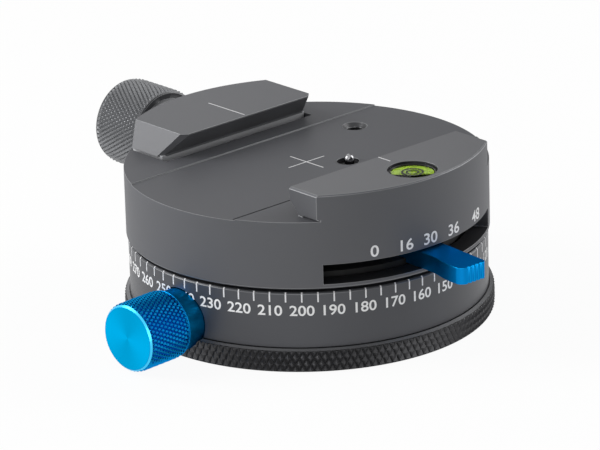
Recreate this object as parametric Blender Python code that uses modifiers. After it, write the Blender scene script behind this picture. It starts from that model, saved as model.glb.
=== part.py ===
"""Panning plate for a tripod head, with a dovetail clamp, click stops and a lock knob.

Metres, +Z up. The origin is the centre of the deck floor, on the pan axis. +X runs along the clamp's jaws
and +Y points to the movable jaw and its knob.
"""

import math

import bmesh
import bpy
from mathutils import Matrix, Vector

MM = 0.001

# Turning top
BODY_RADIUS = 30.0 * MM
ROTOR_DEPTH = 11.2 * MM
SKIRT_WALL = 3.2 * MM
ROOF_THICKNESS = 7.0 * MM
STRIP_PROUD = 0.2 * MM
RECESS_HALF_WIDTH = 12.3 * MM
JAW_HEIGHT = 4.6 * MM
RIM_CHAMFER = 0.25 * MM
BOSS_WALL = 2.7 * MM
BEARING_SEAT_DEPTH = 7.9 * MM
BOSS_DEPTH = 11.0 * MM

# Fixed jaw, in one piece with the turning top
FIXED_TIP = 16.8 * MM
FIXED_ROOT = 0.3 * MM
FIXED_UNDERCUT = 2.0 * MM
FIXED_LEFT_LENGTH = 19.2 * MM
FIXED_RIGHT_LENGTH = 18.2 * MM
RELIEF_DEPTH = 0.5 * MM
RELIEF_HEIGHT = 0.25 * MM

# Movable jaw
JAW_TIP = 14.3 * MM
JAW_LIP = 0.25 * MM
JAW_UNDERCUT = 3.65 * MM
JAW_ROOT = 0.35 * MM
JAW_HALF_LENGTH = 14.3 * MM
JAW_END_SPREAD = 2.0 * MM
JAW_END_LIP = 0.3 * MM
JAW_SEAT_DEPTH = 1.0 * MM
KEEL_HALF_WIDTH = 8.9 * MM
KEEL_DEPTH = 7.8 * MM
KEEL_FRONT = 18.2 * MM
JAW_CLOSING = 1.5 * MM
POCKET_FLOOR = 1.2 * MM
POCKET_WALL = 1.8 * MM

# Jaw knob and its screw
JAW_SCREW_DROP = 3.3 * MM
JAW_SCREW_RADIUS = 2.4 * MM
JAW_SCREW_LENGTH = 32.0 * MM
JAW_SCREW_GRIP = 2.7 * MM
JAW_WASHER_RADIUS = 5.8 * MM
JAW_WASHER_THICKNESS = 0.6 * MM
JAW_SPOT_INSET = 1.0 * MM
JAW_NECK_RADIUS = 6.0 * MM
JAW_NECK_LENGTH = 5.2 * MM
JAW_KNOB_RADIUS = 7.45 * MM
JAW_KNOB_LENGTH = 10.2 * MM
KNOB_CHAMFER = 0.4 * MM

# Guide pins and opening springs of the movable jaw
PIN_SPREAD = 6.0 * MM
PIN_DROP = 4.9 * MM
GUIDE_PIN_RADIUS = 1.2 * MM
GUIDE_PIN_ROOT = 5.0 * MM
GUIDE_PIN_REACH = 8.3 * MM
SPRING_POCKET_DEPTH = 3.0 * MM
SPRING_POCKET_RADIUS = 2.05 * MM
JAW_SPRING_RADIUS = 1.65 * MM
JAW_SPRING_WIRE = 0.22 * MM
JAW_SPRING_TURNS = 4

# Gap under the turning top and the fixed base
ROTOR_GAP = 0.6 * MM
SCALE_INSET = 0.3 * MM
SCALE_HEIGHT = 9.35 * MM
SCALE_WALL = 5.7 * MM
SEAT_WALL = 2.7 * MM
FLANGE_PROUD = 0.7 * MM
FLANGE_HEIGHT = 3.85 * MM
FLANGE_CHAMFER = 0.45 * MM
FLOOR_THICKNESS = 2.5 * MM

# Centre post, tripod bush and bearings
POST_WALL = 2.9 * MM
POST_FLANGE_WIDTH = 2.5 * MM
POST_FLANGE_THICKNESS = 1.6 * MM
UPPER_WASHER_BORE = 4.0 * MM
WASHER_THICKNESS = 0.6 * MM
BUSH_WALL = 1.3 * MM
BUSH_LENGTH = 9.0 * MM
TRIPOD_THREAD_RADIUS = 4.3 * MM
TRIPOD_MOUTH_CHAMFER = 0.5 * MM
SLEEVE_WALL = 0.75 * MM
DRUM_WALL = 1.8 * MM
DRUM_FLANGE_PROUD = 0.6 * MM
DRUM_FLANGE_THICKNESS = 1.4 * MM
DRUM_FLOOR_CLEARANCE = 0.7 * MM

# Index plate and its rings of pockets
INDEX_THICKNESS = 1.1 * MM
INDEX_BORE_GAP = 0.4 * MM
CLICK_INNER_LAND = 1.3 * MM
CLICK_OUTER_LAND = 2.15 * MM
POCKET_MOUTH_SHARE = 0.1
POCKET_DEPTH = 0.6 * MM
CLICK_STOPS = {16: -9.2, 30: 0.0, 36: 10.3, 48: 23.4}
FREE_STOP = -20.3

# Selector disc, lever and click slider
WINDOW_CENTRE = math.radians(270.0)
WINDOW_HALF_SPAN = math.radians(37.4)
WINDOW_HEIGHT = 3.1 * MM
WINDOW_LIP = 0.8 * MM
LEVER_ANGLE = math.radians(268.6)
LEVER_GAP = 0.15 * MM
LEVER_PROUD = 10.4 * MM
LEVER_TONGUE = 6.4 * MM
LEVER_ROOT_WIDTH = 6.0 * MM
LEVER_BODY_WIDTH = 5.5 * MM
LEVER_TIP_WIDTH = 4.5 * MM
LEVER_CORNER = 0.6 * MM
LEVER_NECK_SIDE = 2.3 * MM
LEVER_NECK_PROUD = 1.0 * MM
LEVER_FLARE_SIDE = 3.3 * MM
LEVER_FLARE_SHARES = ((0.0, 0.0), (0.25, 0.15), (0.5, 0.62), (0.75, 0.9), (1.0, 1.0))
LEVER_ROUND = 1.4 * MM
LEVER_ROUND_STEPS = 4
LEVER_RIB_DEPTH = 0.3 * MM
LEVER_RIBS = 4
DISC_THICKNESS = 1.2 * MM
DISC_RIM_GAP = 0.8 * MM
DISC_RIM_LAND = 2.8 * MM
SLIDER_ANGLE = math.radians(180.0)
SLIDER_HALF_LENGTH = 2.0 * MM
SLIDER_HALF_WIDTH = 2.5 * MM
SLIDER_RISE = 3.1 * MM
FOLLOWER_RADIUS = 1.4 * MM
PLUNGER_RADIUS = 0.6 * MM
PLUNGER_TIP_RADIUS = 0.15 * MM
PLUNGER_TIP_LENGTH = 0.5 * MM
PLUNGER_HEAD_RADIUS = 0.95 * MM
PLUNGER_HEAD_HEIGHT = 0.6 * MM
PLUNGER_TRAVEL = 0.4 * MM
PLUNGER_LENGTH = 3.75 * MM
CLICK_SPRING_RADIUS = 0.75 * MM
CLICK_SPRING_WIRE = 0.14 * MM
CLICK_SPRING_TURNS = 4

# Lock knob, stud, shoe and guide
LOCK_ANGLE = math.radians(182.6)
LOCK_DROP = 18.95 * MM
LOCK_STUD_RADIUS = 2.4 * MM
LOCK_STUD_ENGAGEMENT = 8.4 * MM
LOCK_NUB_RADIUS = 1.1 * MM
LOCK_NUB_LENGTH = 1.0 * MM
LOCK_SHOE_RADIUS = 3.1 * MM
LOCK_SHOE_LENGTH = 2.8 * MM
LOCK_TRAVEL = 1.6 * MM
LOCK_COLLAR_SINK = 0.8 * MM
LOCK_COLLAR_RADIUS = 5.1 * MM
LOCK_GRIP_GAP = 1.9 * MM
LOCK_GRIP_LENGTH = 8.8 * MM
LOCK_KNOB_RADIUS = 5.75 * MM
GUIDE_HALF_WIDTH = 4.9 * MM
GUIDE_HEIGHT = 6.6 * MM
GUIDE_DRUM_GAP = 1.25 * MM

# Bubble level in the fixed jaw
LEVEL_INSET = 4.9 * MM
LEVEL_RADIUS = 3.95 * MM
LEVEL_DEPTH = 4.0 * MM
LEVEL_WALL = 0.35 * MM
LEVEL_FLOOR = 0.5 * MM
LEVEL_LENS_THICKNESS = 0.7 * MM
LEVEL_TOP_DROP = 0.15 * MM
BUBBLE_RADIUS = 1.1 * MM
BUBBLE_DEPTH = 0.5 * MM

# Sprung stop pin and the accessory hole in the deck
STOP_X = 4.65 * MM
STOP_Y = -5.05 * MM
STOP_HOLE_RADIUS = 1.85 * MM
STOP_HOLE_DEPTH = 5.8 * MM
STOP_PIN_RADIUS = 0.8 * MM
STOP_PIN_PROUD = 1.2 * MM
STOP_COLLAR_RADIUS = 1.35 * MM
STOP_COLLAR_HEIGHT = 0.8 * MM
STOP_SLEEVE_DROP = 0.7 * MM
STOP_SLEEVE_LENGTH = 1.6 * MM
STOP_SPRING_RADIUS = 0.95 * MM
STOP_SPRING_WIRE = 0.15 * MM
STOP_SPRING_TURNS = 3
ACCESSORY_X = 17.6 * MM
ACCESSORY_Y = 7.0 * MM
ACCESSORY_RADIUS = 1.65 * MM

# Screws
SMALL_SCREW_RADIUS = 0.8 * MM
SMALL_HEAD_RADIUS = 1.2 * MM
HEAD_HEIGHT = 0.7 * MM
SOCKET_RADIUS = 0.5 * MM
SOCKET_DEPTH = 0.45 * MM
BASE_SCREW_LENGTH = 8.0 * MM
BASE_SCREW_INSET = 2.7 * MM
BASE_SCREW_COUNT = 3
BASE_SCREW_TURN = math.radians(90.0)
POST_SCREW_LENGTH = 6.0 * MM
POST_SCREW_INSET = 1.6 * MM
POST_SCREW_COUNT = 3
GUIDE_SCREW_LENGTH = 4.9 * MM
GUIDE_SCREW_INSET = 5.5 * MM
GUIDE_SCREW_OFFSET = 3.7 * MM
DRUM_SCREW_LENGTH = 4.2 * MM
DRUM_SCREW_INSET = 1.5 * MM
DRUM_SCREW_COUNT = 3
DRUM_SCREW_TURN = math.radians(45.0)
INDEX_SCREW_LENGTH = 3.4 * MM
INDEX_SCREW_INSET = 1.65 * MM
INDEX_SCREW_COUNT = 3
INDEX_SCREW_TURN = math.radians(60.0)
LEVER_SCREW_LENGTH = 3.0 * MM
LEVER_SCREW_INSETS = (1.8 * MM, 4.8 * MM)

# Fits
SEAT_GAP = 0.1 * MM
RUN_GAP = 0.15 * MM
SLIDE_GAP = 0.3 * MM
SCREW_GAP = 0.1 * MM
OVERRUN = 1.0 * MM
WELD = 0.001 * MM

# How finely round shapes are cut
BODY_SIDES = 48
PART_SIDES = 32
SMALL_SIDES = 12
SCREW_SIDES = 8
POCKET_SIDES = 4
SPRING_STEPS = 9
SPIRAL_STEPS = 16
SLOT_END_STEPS = 6
BALL_STEPS = 5
SHARP_ANGLE = math.radians(30.0)

# Levels and radii that follow from the sizes above
ROTOR_BOTTOM = -ROTOR_DEPTH
SKIRT_INSIDE = BODY_RADIUS - SKIRT_WALL
ROOF = -ROOF_THICKNESS
BUSH_RADIUS = TRIPOD_THREAD_RADIUS + BUSH_WALL
POST_RADIUS = BUSH_RADIUS + POST_WALL
POST_SCREW_CIRCLE = BUSH_RADIUS + POST_SCREW_INSET
POST_FLANGE_RADIUS = POST_RADIUS + POST_FLANGE_WIDTH
BEARING_RADIUS = POST_FLANGE_RADIUS + SLIDE_GAP
BOSS_RADIUS = BEARING_RADIUS + BOSS_WALL
BOSS_END = -BOSS_DEPTH
DRUM_FLANGE_RADIUS = BOSS_RADIUS + DRUM_FLANGE_PROUD
SCALE_RADIUS = BODY_RADIUS - SCALE_INSET
FLANGE_RADIUS = BODY_RADIUS + FLANGE_PROUD
RING_TOP = ROTOR_BOTTOM - ROTOR_GAP
RING_BOTTOM = RING_TOP - SCALE_HEIGHT
RING_INSIDE = SCALE_RADIUS - SCALE_WALL
FLANGE_TOP = RING_BOTTOM - SEAT_GAP
BASE_BOTTOM = FLANGE_TOP - FLANGE_HEIGHT
BASE_FLOOR = BASE_BOTTOM + FLOOR_THICKNESS
DRUM_TOP = BOSS_END - SEAT_GAP
DRUM_BORE = POST_RADIUS + RUN_GAP + SLEEVE_WALL + RUN_GAP
DRUM_RADIUS = DRUM_BORE + DRUM_WALL
UPPER_WASHER_TOP = -BEARING_SEAT_DEPTH - SEAT_GAP
POST_TOP = UPPER_WASHER_TOP - WASHER_THICKNESS - SEAT_GAP
INDEX_TOP = RING_TOP
INDEX_SEAT = INDEX_TOP - INDEX_THICKNESS - SEAT_GAP
INDEX_RADIUS = SCALE_RADIUS - SEAT_WALL
INDEX_BORE_RADIUS = DRUM_FLANGE_RADIUS + INDEX_BORE_GAP
INDEX_SCREW_CIRCLE = INDEX_RADIUS - INDEX_SCREW_INSET
BASE_SCREW_CIRCLE = SCALE_RADIUS - BASE_SCREW_INSET
GUIDE_SCREW_CIRCLE = RING_INSIDE - GUIDE_SCREW_INSET
DRUM_SCREW_CIRCLE = BEARING_RADIUS + DRUM_SCREW_INSET
GUIDE_INNER_RADIUS = DRUM_RADIUS + GUIDE_DRUM_GAP
WINDOW_BOTTOM = ROTOR_BOTTOM + WINDOW_LIP
WINDOW_TOP = WINDOW_BOTTOM + WINDOW_HEIGHT
LEVER_TOP = WINDOW_TOP - LEVER_GAP
LEVER_BOTTOM = WINDOW_BOTTOM + LEVER_GAP
DISC_BOTTOM = DRUM_TOP + 2 * SEAT_GAP
DISC_TOP = DISC_BOTTOM + DISC_THICKNESS
DISC_RADIUS = SKIRT_INSIDE - DISC_RIM_GAP
DISC_BORE = BOSS_RADIUS + SLIDE_GAP
CLICK_INNER_RADIUS = INDEX_BORE_RADIUS + CLICK_INNER_LAND
CLICK_OUTER_RADIUS = min(INDEX_SCREW_CIRCLE - CLICK_OUTER_LAND, DISC_RADIUS - DISC_RIM_LAND)
CLICK_BAND = CLICK_OUTER_RADIUS - CLICK_INNER_RADIUS
SPIRAL_RATE = CLICK_BAND / math.radians(CLICK_STOPS[48] - FREE_STOP)
SLIDER_RADIUS = CLICK_INNER_RADIUS - SPIRAL_RATE * math.radians(FREE_STOP)
POCKET_MOUTH_RADIUS = CLICK_BAND * POCKET_MOUTH_SHARE
LEVER_ROOT = DISC_RADIUS - LEVER_TONGUE
LEVER_SCREW_RADII = [DISC_RADIUS - inset for inset in LEVER_SCREW_INSETS]
LEVER_REACH = BODY_RADIUS + LEVER_PROUD
LOCK_COLLAR_START = SCALE_RADIUS - LOCK_COLLAR_SINK
LOCK_GRIP_START = FLANGE_RADIUS + LOCK_GRIP_GAP
LOCK_KNOB_END = LOCK_GRIP_START + LOCK_GRIP_LENGTH
JAW_BOTTOM = STRIP_PROUD + SEAT_GAP
POCKET_BOTTOM = -KEEL_DEPTH - SLIDE_GAP
POCKET_FRONT = KEEL_FRONT - JAW_CLOSING - SLIDE_GAP
FLANK_BASE = JAW_TIP + JAW_UNDERCUT
SLAB_HALF_LENGTH = JAW_HALF_LENGTH + JAW_END_SPREAD - JAW_END_LIP
SLAB_BOTTOM = -JAW_SEAT_DEPTH + SEAT_GAP
JAW_RADIUS = BODY_RADIUS - SEAT_GAP
JAW_SPOT_FACE = BODY_RADIUS - JAW_SPOT_INSET
JAW_WASHER_END = JAW_SPOT_FACE + SEAT_GAP + JAW_WASHER_THICKNESS
JAW_NECK_END = JAW_WASHER_END + SEAT_GAP + JAW_NECK_LENGTH
JAW_SCREW_END = JAW_NECK_END + JAW_SCREW_GRIP
JAW_SCREW_START = JAW_SCREW_END - JAW_SCREW_LENGTH
LEVEL_OFFSET = BODY_RADIUS - LEVEL_INSET
LEVEL_TOP = JAW_HEIGHT - LEVEL_TOP_DROP
LEVEL_BOTTOM = LEVEL_TOP - LEVEL_DEPTH

# Colours and finishes
FINISHES = {
    "anodised_grey": ((0.14, 0.145, 0.155), 0.7, 0.42),
    "dark_ring": ((0.075, 0.077, 0.083), 0.7, 0.45),
    "knurled_black": ((0.035, 0.035, 0.037), 0.6, 0.5),
    "blue_anodised": ((0.01, 0.22, 0.55), 0.7, 0.35),
    "steel": ((0.55, 0.55, 0.56), 1.0, 0.3),
    "black_steel": ((0.03, 0.03, 0.032), 0.8, 0.5),
    "bronze": ((0.45, 0.29, 0.12), 1.0, 0.4),
    "white_polymer": ((0.75, 0.74, 0.7), 0.0, 0.5),
    "level_fluid": ((0.62, 0.75, 0.05), 0.0, 0.1),
    "clear_lens": ((0.85, 0.88, 0.85), 0.0, 0.05),
}


for old in list(bpy.data.objects):
    bpy.data.objects.remove(old, do_unlink=True)

PARTS = bpy.data.collections.new("panning_plate")
CUTTERS = bpy.data.collections.new("cutters")
bpy.context.scene.collection.children.link(PARTS)
bpy.context.scene.collection.children.link(CUTTERS)


def finish_material(name):
    """One Principled material of the named finish."""
    if name in bpy.data.materials:
        return bpy.data.materials[name]
    colour, metallic, roughness = FINISHES[name]
    material = bpy.data.materials.new(name)
    material.use_nodes = True
    shader = material.node_tree.nodes["Principled BSDF"]
    shader.inputs["Base Color"].default_value = (*colour, 1.0)
    shader.inputs["Metallic"].default_value = metallic
    shader.inputs["Roughness"].default_value = roughness
    return material


def polar(radius, angle, z=0.0):
    """A point at a radius and angle about the pan axis."""
    return Vector((radius * math.cos(angle), radius * math.sin(angle), z))


def place(part, parent, location=(0, 0, 0), turn=0.0):
    """Puts a part on its parent, at a place and turn in the parent's own frame."""
    part.parent = parent
    part.location = location
    part.rotation_euler = (0, 0, turn)
    return part


def add_part(name, data, finish, parent=None, location=(0, 0, 0), turn=0.0):
    """A named sub-part in the object's collection."""
    part = bpy.data.objects.new(name, data)
    PARTS.objects.link(part)
    part.data.materials.append(finish_material(finish))
    return place(part, parent, location, turn)


def add_cutter(name, data):
    """A hidden guide that only cuts or joins."""
    cutter = bpy.data.objects.new(name, data)
    CUTTERS.objects.link(cutter)
    cutter.hide_render = True
    cutter.display_type = "WIRE"
    return cutter


def joint_empty(name, location, parent, rotation=(0, 0, 0)):
    """The axis that a moving group turns about or slides along."""
    empty = bpy.data.objects.new(name, None)
    PARTS.objects.link(empty)
    empty.parent = parent
    empty.location = location
    empty.rotation_euler = rotation
    return empty


def profile_mesh(name, profile, closed):
    """The edges of a turned piece's half section, as (radius, height) points."""
    mesh = bpy.data.meshes.new(name)
    verts = [(radius, 0, z) for radius, z in profile]
    edges = [(i, i + 1) for i in range(len(verts) - 1)]
    if closed:
        edges.append((len(verts) - 1, 0))
    mesh.from_pydata(verts, edges, [])
    return mesh


def spin(obj, sides):
    """Turns a half section into a round solid."""
    screw = obj.modifiers.new("turn", "SCREW")
    screw.steps = sides
    screw.render_steps = sides
    screw.use_merge_vertices = True
    screw.merge_threshold = WELD
    return obj


def turned(name, profile, finish, parent, closed=True, sides=PART_SIDES, location=(0, 0, 0)):
    """A turned sub-part. Its section runs down the outer side."""
    return spin(add_part(name, profile_mesh(name, profile, closed), finish, parent, location), sides)


def tube(radius, bore, top, bottom):
    """The half section of a plain ring."""
    return [(radius, top), (radius, bottom), (bore, bottom), (bore, top)]


def block_mesh(name, low, high, angle=0.0):
    """A box between two corners, turned about the pan axis."""
    low, high = Vector(low), Vector(high)
    size = high - low
    centre = (low + high) / 2
    mesh = bpy.data.meshes.new(name)
    work = bmesh.new()
    turn = Matrix.Rotation(angle, 4, "Z")
    scale = Matrix.Diagonal((*size, 1))
    bmesh.ops.create_cube(work, size=1, matrix=turn @ Matrix.Translation(centre) @ scale)
    work.to_mesh(mesh)
    work.free()
    return mesh


def rods_mesh(name, rods, sides):
    """Round rods or cones, each from a start to an end with a radius at both."""
    mesh = bpy.data.meshes.new(name)
    work = bmesh.new()
    for start, end, start_radius, end_radius in rods:
        start, end = Vector(start), Vector(end)
        axis = end - start
        turn = axis.to_track_quat("Z", "Y").to_matrix().to_4x4()
        bmesh.ops.create_cone(
            work, cap_ends=True, segments=sides, radius1=start_radius, radius2=end_radius,
            depth=axis.length, matrix=Matrix.Translation((start + end) / 2) @ turn)
    work.to_mesh(mesh)
    work.free()
    return mesh


def outline_mesh(name, points, low, high):
    """A flat outline, extruded between two heights."""
    curve = bpy.data.curves.new(name, "CURVE")
    curve.dimensions = "2D"
    curve.fill_mode = "BOTH"
    curve.extrude = (high - low) / 2
    line = curve.splines.new("POLY")
    line.points.add(len(points) - 1)
    for point, (x, y) in zip(line.points, points):
        point.co = (x, y, 0, 1)
    line.use_cyclic_u = True
    guide = bpy.data.objects.new(name, curve)
    CUTTERS.objects.link(guide)
    bpy.context.view_layer.update()
    shape = guide.evaluated_get(bpy.context.evaluated_depsgraph_get())
    mesh = bpy.data.meshes.new_from_object(shape)
    bpy.data.objects.remove(guide)
    work = bmesh.new()
    work.from_mesh(mesh)
    bmesh.ops.remove_doubles(work, verts=work.verts, dist=WELD)
    bmesh.ops.translate(work, verts=work.verts, vec=(0, 0, (high + low) / 2))
    bmesh.ops.recalc_face_normals(work, faces=work.faces)
    work.to_mesh(mesh)
    work.free()
    mesh.materials.clear()
    return mesh


def combine(part, data, operation="DIFFERENCE", sides=None):
    """Cuts a shape out of a part, joins it on, or keeps only what both hold."""
    guide = add_cutter(f"{part.name}_{operation.lower()}_{len(part.modifiers)}", data)
    if sides:
        spin(guide, sides)
    tool = part.modifiers.new(guide.name, "BOOLEAN")
    tool.object = guide
    tool.operation = operation
    tool.solver = "EXACT"
    return part


def drill(part, holes, sides=SMALL_SIDES):
    """Straight holes, each from a start to an end with one radius."""
    rods = [(start, end, radius, radius) for start, end, radius in holes]
    return combine(part, rods_mesh("holes", rods, sides))


def ring_places(radius, count, z=0.0, first=0.0):
    """Evenly spaced points on a circle."""
    return [polar(radius, first + 2 * math.pi * i / count, z) for i in range(count)]


def spring(name, radius, wire, start, end, turns, parent):
    """A coil spring as one unbroken tube, from start to end."""
    start, end = Vector(start), Vector(end)
    axis = end - start
    frame = axis.to_track_quat("Z", "Y").to_matrix()
    length = axis.length - 2 * wire
    count = turns * SPRING_STEPS
    curve = bpy.data.curves.new(name, "CURVE")
    curve.dimensions = "3D"
    curve.bevel_depth = wire
    curve.bevel_resolution = 1
    curve.use_fill_caps = True
    line = curve.splines.new("POLY")
    line.points.add(count)
    for i, point in enumerate(line.points):
        angle = 2 * math.pi * i / SPRING_STEPS
        along = wire + length * i / count
        offset = Vector((radius * math.cos(angle), radius * math.sin(angle), along))
        point.co = (*(start + frame @ offset), 1)
    return add_part(name, curve, "steel", parent)


def screws(name, heads, way, length, parent):
    """Countersunk socket screws, each its own piece, that go from the head's face along way."""
    section = [
        (0, length), (SMALL_SCREW_RADIUS, length), (SMALL_SCREW_RADIUS, HEAD_HEIGHT),
        (SMALL_HEAD_RADIUS, 0), (SOCKET_RADIUS, 0), (SOCKET_RADIUS, SOCKET_DEPTH), (0, SOCKET_DEPTH)]
    turn = Vector(way).to_track_quat("Z", "Y").to_euler()
    for i, head in enumerate(heads, 1):
        screw = turned(f"{name}_{i}", section, "steel", parent, False, SCREW_SIDES, head)
        screw.rotation_euler = turn


def screw_holes(part, heads, way, depth):
    """Clearance holes to a depth, with countersinks in the face that the heads sit in."""
    slope = (SMALL_HEAD_RADIUS - SMALL_SCREW_RADIUS) / HEAD_HEIGHT
    mouth = SMALL_HEAD_RADIUS + SCREW_GAP + slope * SEAT_GAP
    root = SMALL_SCREW_RADIUS + SCREW_GAP
    section = [(0, depth), (root, depth), (root, HEAD_HEIGHT), (mouth, -SEAT_GAP), (0, -SEAT_GAP)]
    work = bmesh.new()
    verts = [work.verts.new((radius, 0, z)) for radius, z in section]
    edges = [work.edges.new(pair) for pair in zip(verts, verts[1:])]
    bmesh.ops.spin(
        work, geom=verts + edges, axis=(0, 0, 1), cent=(0, 0, 0), angle=2 * math.pi,
        steps=SMALL_SIDES, use_merge=True)
    bmesh.ops.remove_doubles(work, verts=work.verts, dist=WELD)
    bmesh.ops.recalc_face_normals(work, faces=work.faces)
    one = bpy.data.meshes.new("countersink")
    work.to_mesh(one)
    work.clear()
    turn = Vector(way).to_track_quat("Z", "Y").to_matrix().to_4x4()
    for at in heads:
        copy = one.copy()
        copy.transform(Matrix.Translation(at) @ turn)
        work.from_mesh(copy)
    mesh = bpy.data.meshes.new("countersinks")
    work.to_mesh(mesh)
    work.free()
    return combine(part, mesh)


def blind_holes(part, mouths, way, depth):
    """Tapped holes that start at a face and end in the piece."""
    way = Vector(way)
    radius = SMALL_SCREW_RADIUS + SCREW_GAP
    return drill(part, [(at - way * OVERRUN, at + way * depth, radius) for at in mouths])


# The frames that carry the pieces: the base stands still and the top turns about the pan axis
PAN_AXIS = joint_empty("pan_axis", (0, 0, 0), None)
SELECTOR_AXIS = joint_empty("selector_axis", (0, 0, 0), PAN_AXIS)
JAW_RAIL = joint_empty("jaw_rail", (0, 0, 0), PAN_AXIS)
JAW_SCREW_AXIS = joint_empty(
    "jaw_screw_axis", (0, 0, -JAW_SCREW_DROP), JAW_RAIL, (-math.pi / 2, 0, 0))
SLIDER_RAIL = joint_empty("slider_rail", (0, 0, 0), PAN_AXIS, (0, 0, SLIDER_ANGLE))
PLUNGER_AXIS = joint_empty("plunger_axis", (SLIDER_RADIUS, 0, 0), SLIDER_RAIL)
STOP_AXIS = joint_empty("stop_axis", (STOP_X, STOP_Y, 0), PAN_AXIS)
LOCK_AXIS = joint_empty("lock_axis", (0, 0, -LOCK_DROP), None, (0, math.pi / 2, LOCK_ANGLE))

DOWN = Vector((0, 0, -1))
UP = Vector((0, 0, 1))

BASE_SCREW_PLACES = ring_places(BASE_SCREW_CIRCLE, BASE_SCREW_COUNT, BASE_BOTTOM, BASE_SCREW_TURN)
POST_SCREW_PLACES = ring_places(POST_SCREW_CIRCLE, POST_SCREW_COUNT, BASE_BOTTOM, BASE_SCREW_TURN)
DRUM_SCREW_PLACES = ring_places(
    DRUM_SCREW_CIRCLE, DRUM_SCREW_COUNT, DRUM_TOP - DRUM_FLANGE_THICKNESS, DRUM_SCREW_TURN)
INDEX_SCREW_PLACES = ring_places(INDEX_SCREW_CIRCLE, INDEX_SCREW_COUNT, INDEX_TOP, INDEX_SCREW_TURN)


def guide_screw_places(z):
    """The two screws of the lock guide, one on each side of its bore."""
    side = math.atan2(GUIDE_SCREW_OFFSET, GUIDE_SCREW_CIRCLE)
    reach = math.hypot(GUIDE_SCREW_CIRCLE, GUIDE_SCREW_OFFSET)
    return [polar(reach, LOCK_ANGLE + turn, z) for turn in (-side, side)]


def lock_point(radius):
    """A point on the lock screw's axis, at a distance from the pan axis."""
    return polar(radius, LOCK_ANGLE, -LOCK_DROP)


def jaw_screw_point(y):
    """A point on the jaw screw's axis."""
    return Vector((0, y, -JAW_SCREW_DROP))


def pin_points(y):
    """Points on the two guide pins' axes."""
    return [Vector((side * PIN_SPREAD, y, -PIN_DROP)) for side in (-1, 1)]


def cut_lock_bores(part):
    """The bore of the lock's stud through the base's wall, and the recess of the knob's collar."""
    inner, recess = RING_INSIDE - OVERRUN, LOCK_COLLAR_START - SLIDE_GAP
    end = lock_point(LOCK_KNOB_END)
    drill(part, [(lock_point(inner), end, LOCK_STUD_RADIUS + SLIDE_GAP)], PART_SIDES)
    return drill(part, [(lock_point(recess), end, LOCK_COLLAR_RADIUS + RUN_GAP)], PART_SIDES)


def make_base_plate():
    """The knurled flange that stands on the tripod."""
    c = FLANGE_CHAMFER
    section = [
        (FLANGE_RADIUS - c, FLANGE_TOP), (FLANGE_RADIUS, FLANGE_TOP - c),
        (FLANGE_RADIUS, BASE_BOTTOM + c), (FLANGE_RADIUS - c, BASE_BOTTOM),
        (BUSH_RADIUS + SEAT_GAP, BASE_BOTTOM), (BUSH_RADIUS + SEAT_GAP, BASE_FLOOR),
        (RING_INSIDE, BASE_FLOOR), (RING_INSIDE, FLANGE_TOP)]
    plate = turned("base_plate", section, "knurled_black", None, sides=BODY_SIDES)
    screw_holes(plate, BASE_SCREW_PLACES, UP, FLANGE_HEIGHT + OVERRUN)
    screw_holes(plate, POST_SCREW_PLACES, UP, FLOOR_THICKNESS + OVERRUN)
    screw_holes(plate, guide_screw_places(BASE_BOTTOM), UP, FLOOR_THICKNESS + OVERRUN)
    return cut_lock_bores(plate)


def make_scale_ring():
    """The degree ring on the base, with the seat of the index plate and the lock screw's bore."""
    c = RIM_CHAMFER
    section = [
        (SCALE_RADIUS - c, RING_TOP), (SCALE_RADIUS, RING_TOP - c), (SCALE_RADIUS, RING_BOTTOM),
        (RING_INSIDE, RING_BOTTOM), (RING_INSIDE, INDEX_SEAT), (INDEX_RADIUS, INDEX_SEAT),
        (INDEX_RADIUS, RING_TOP)]
    ring = turned("scale_ring", section, "dark_ring", None, sides=BODY_SIDES)
    feet = ring_places(BASE_SCREW_CIRCLE, BASE_SCREW_COUNT, RING_BOTTOM, BASE_SCREW_TURN)
    blind_holes(ring, feet, UP, BASE_SCREW_LENGTH - FLANGE_HEIGHT)
    seats = ring_places(INDEX_SCREW_CIRCLE, INDEX_SCREW_COUNT, INDEX_SEAT, INDEX_SCREW_TURN)
    blind_holes(ring, seats, DOWN, INDEX_SCREW_LENGTH - INDEX_THICKNESS)
    return cut_lock_bores(ring)


def make_post():
    """The fixed centre post: its flange holds the turning top, and its foot is screwed to the base."""
    flange_end = POST_TOP - POST_FLANGE_THICKNESS
    foot = BASE_FLOOR + SEAT_GAP
    bore = BUSH_RADIUS + SEAT_GAP
    bore_top = BASE_BOTTOM + SEAT_GAP + BUSH_LENGTH + SEAT_GAP
    section = [
        (0, POST_TOP), (POST_FLANGE_RADIUS, POST_TOP), (POST_FLANGE_RADIUS, flange_end),
        (POST_RADIUS, flange_end), (POST_RADIUS, foot), (bore, foot), (bore, bore_top), (0, bore_top)]
    post = turned("centre_post", section, "steel", None, closed=False)
    mouths = ring_places(POST_SCREW_CIRCLE, POST_SCREW_COUNT, foot, BASE_SCREW_TURN)
    return blind_holes(post, mouths, UP, POST_SCREW_LENGTH - FLOOR_THICKNESS)


def make_tripod_bush():
    """The steel bush with the 3/8 inch tripod thread, drawn at its pitch diameter."""
    c = TRIPOD_MOUTH_CHAMFER
    low = BASE_BOTTOM + SEAT_GAP
    high = low + BUSH_LENGTH
    section = [
        (BUSH_RADIUS, high), (BUSH_RADIUS, low), (TRIPOD_THREAD_RADIUS + c, low),
        (TRIPOD_THREAD_RADIUS, low + c), (TRIPOD_THREAD_RADIUS, high)]
    return turned("tripod_bush", section, "steel", None)


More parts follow.
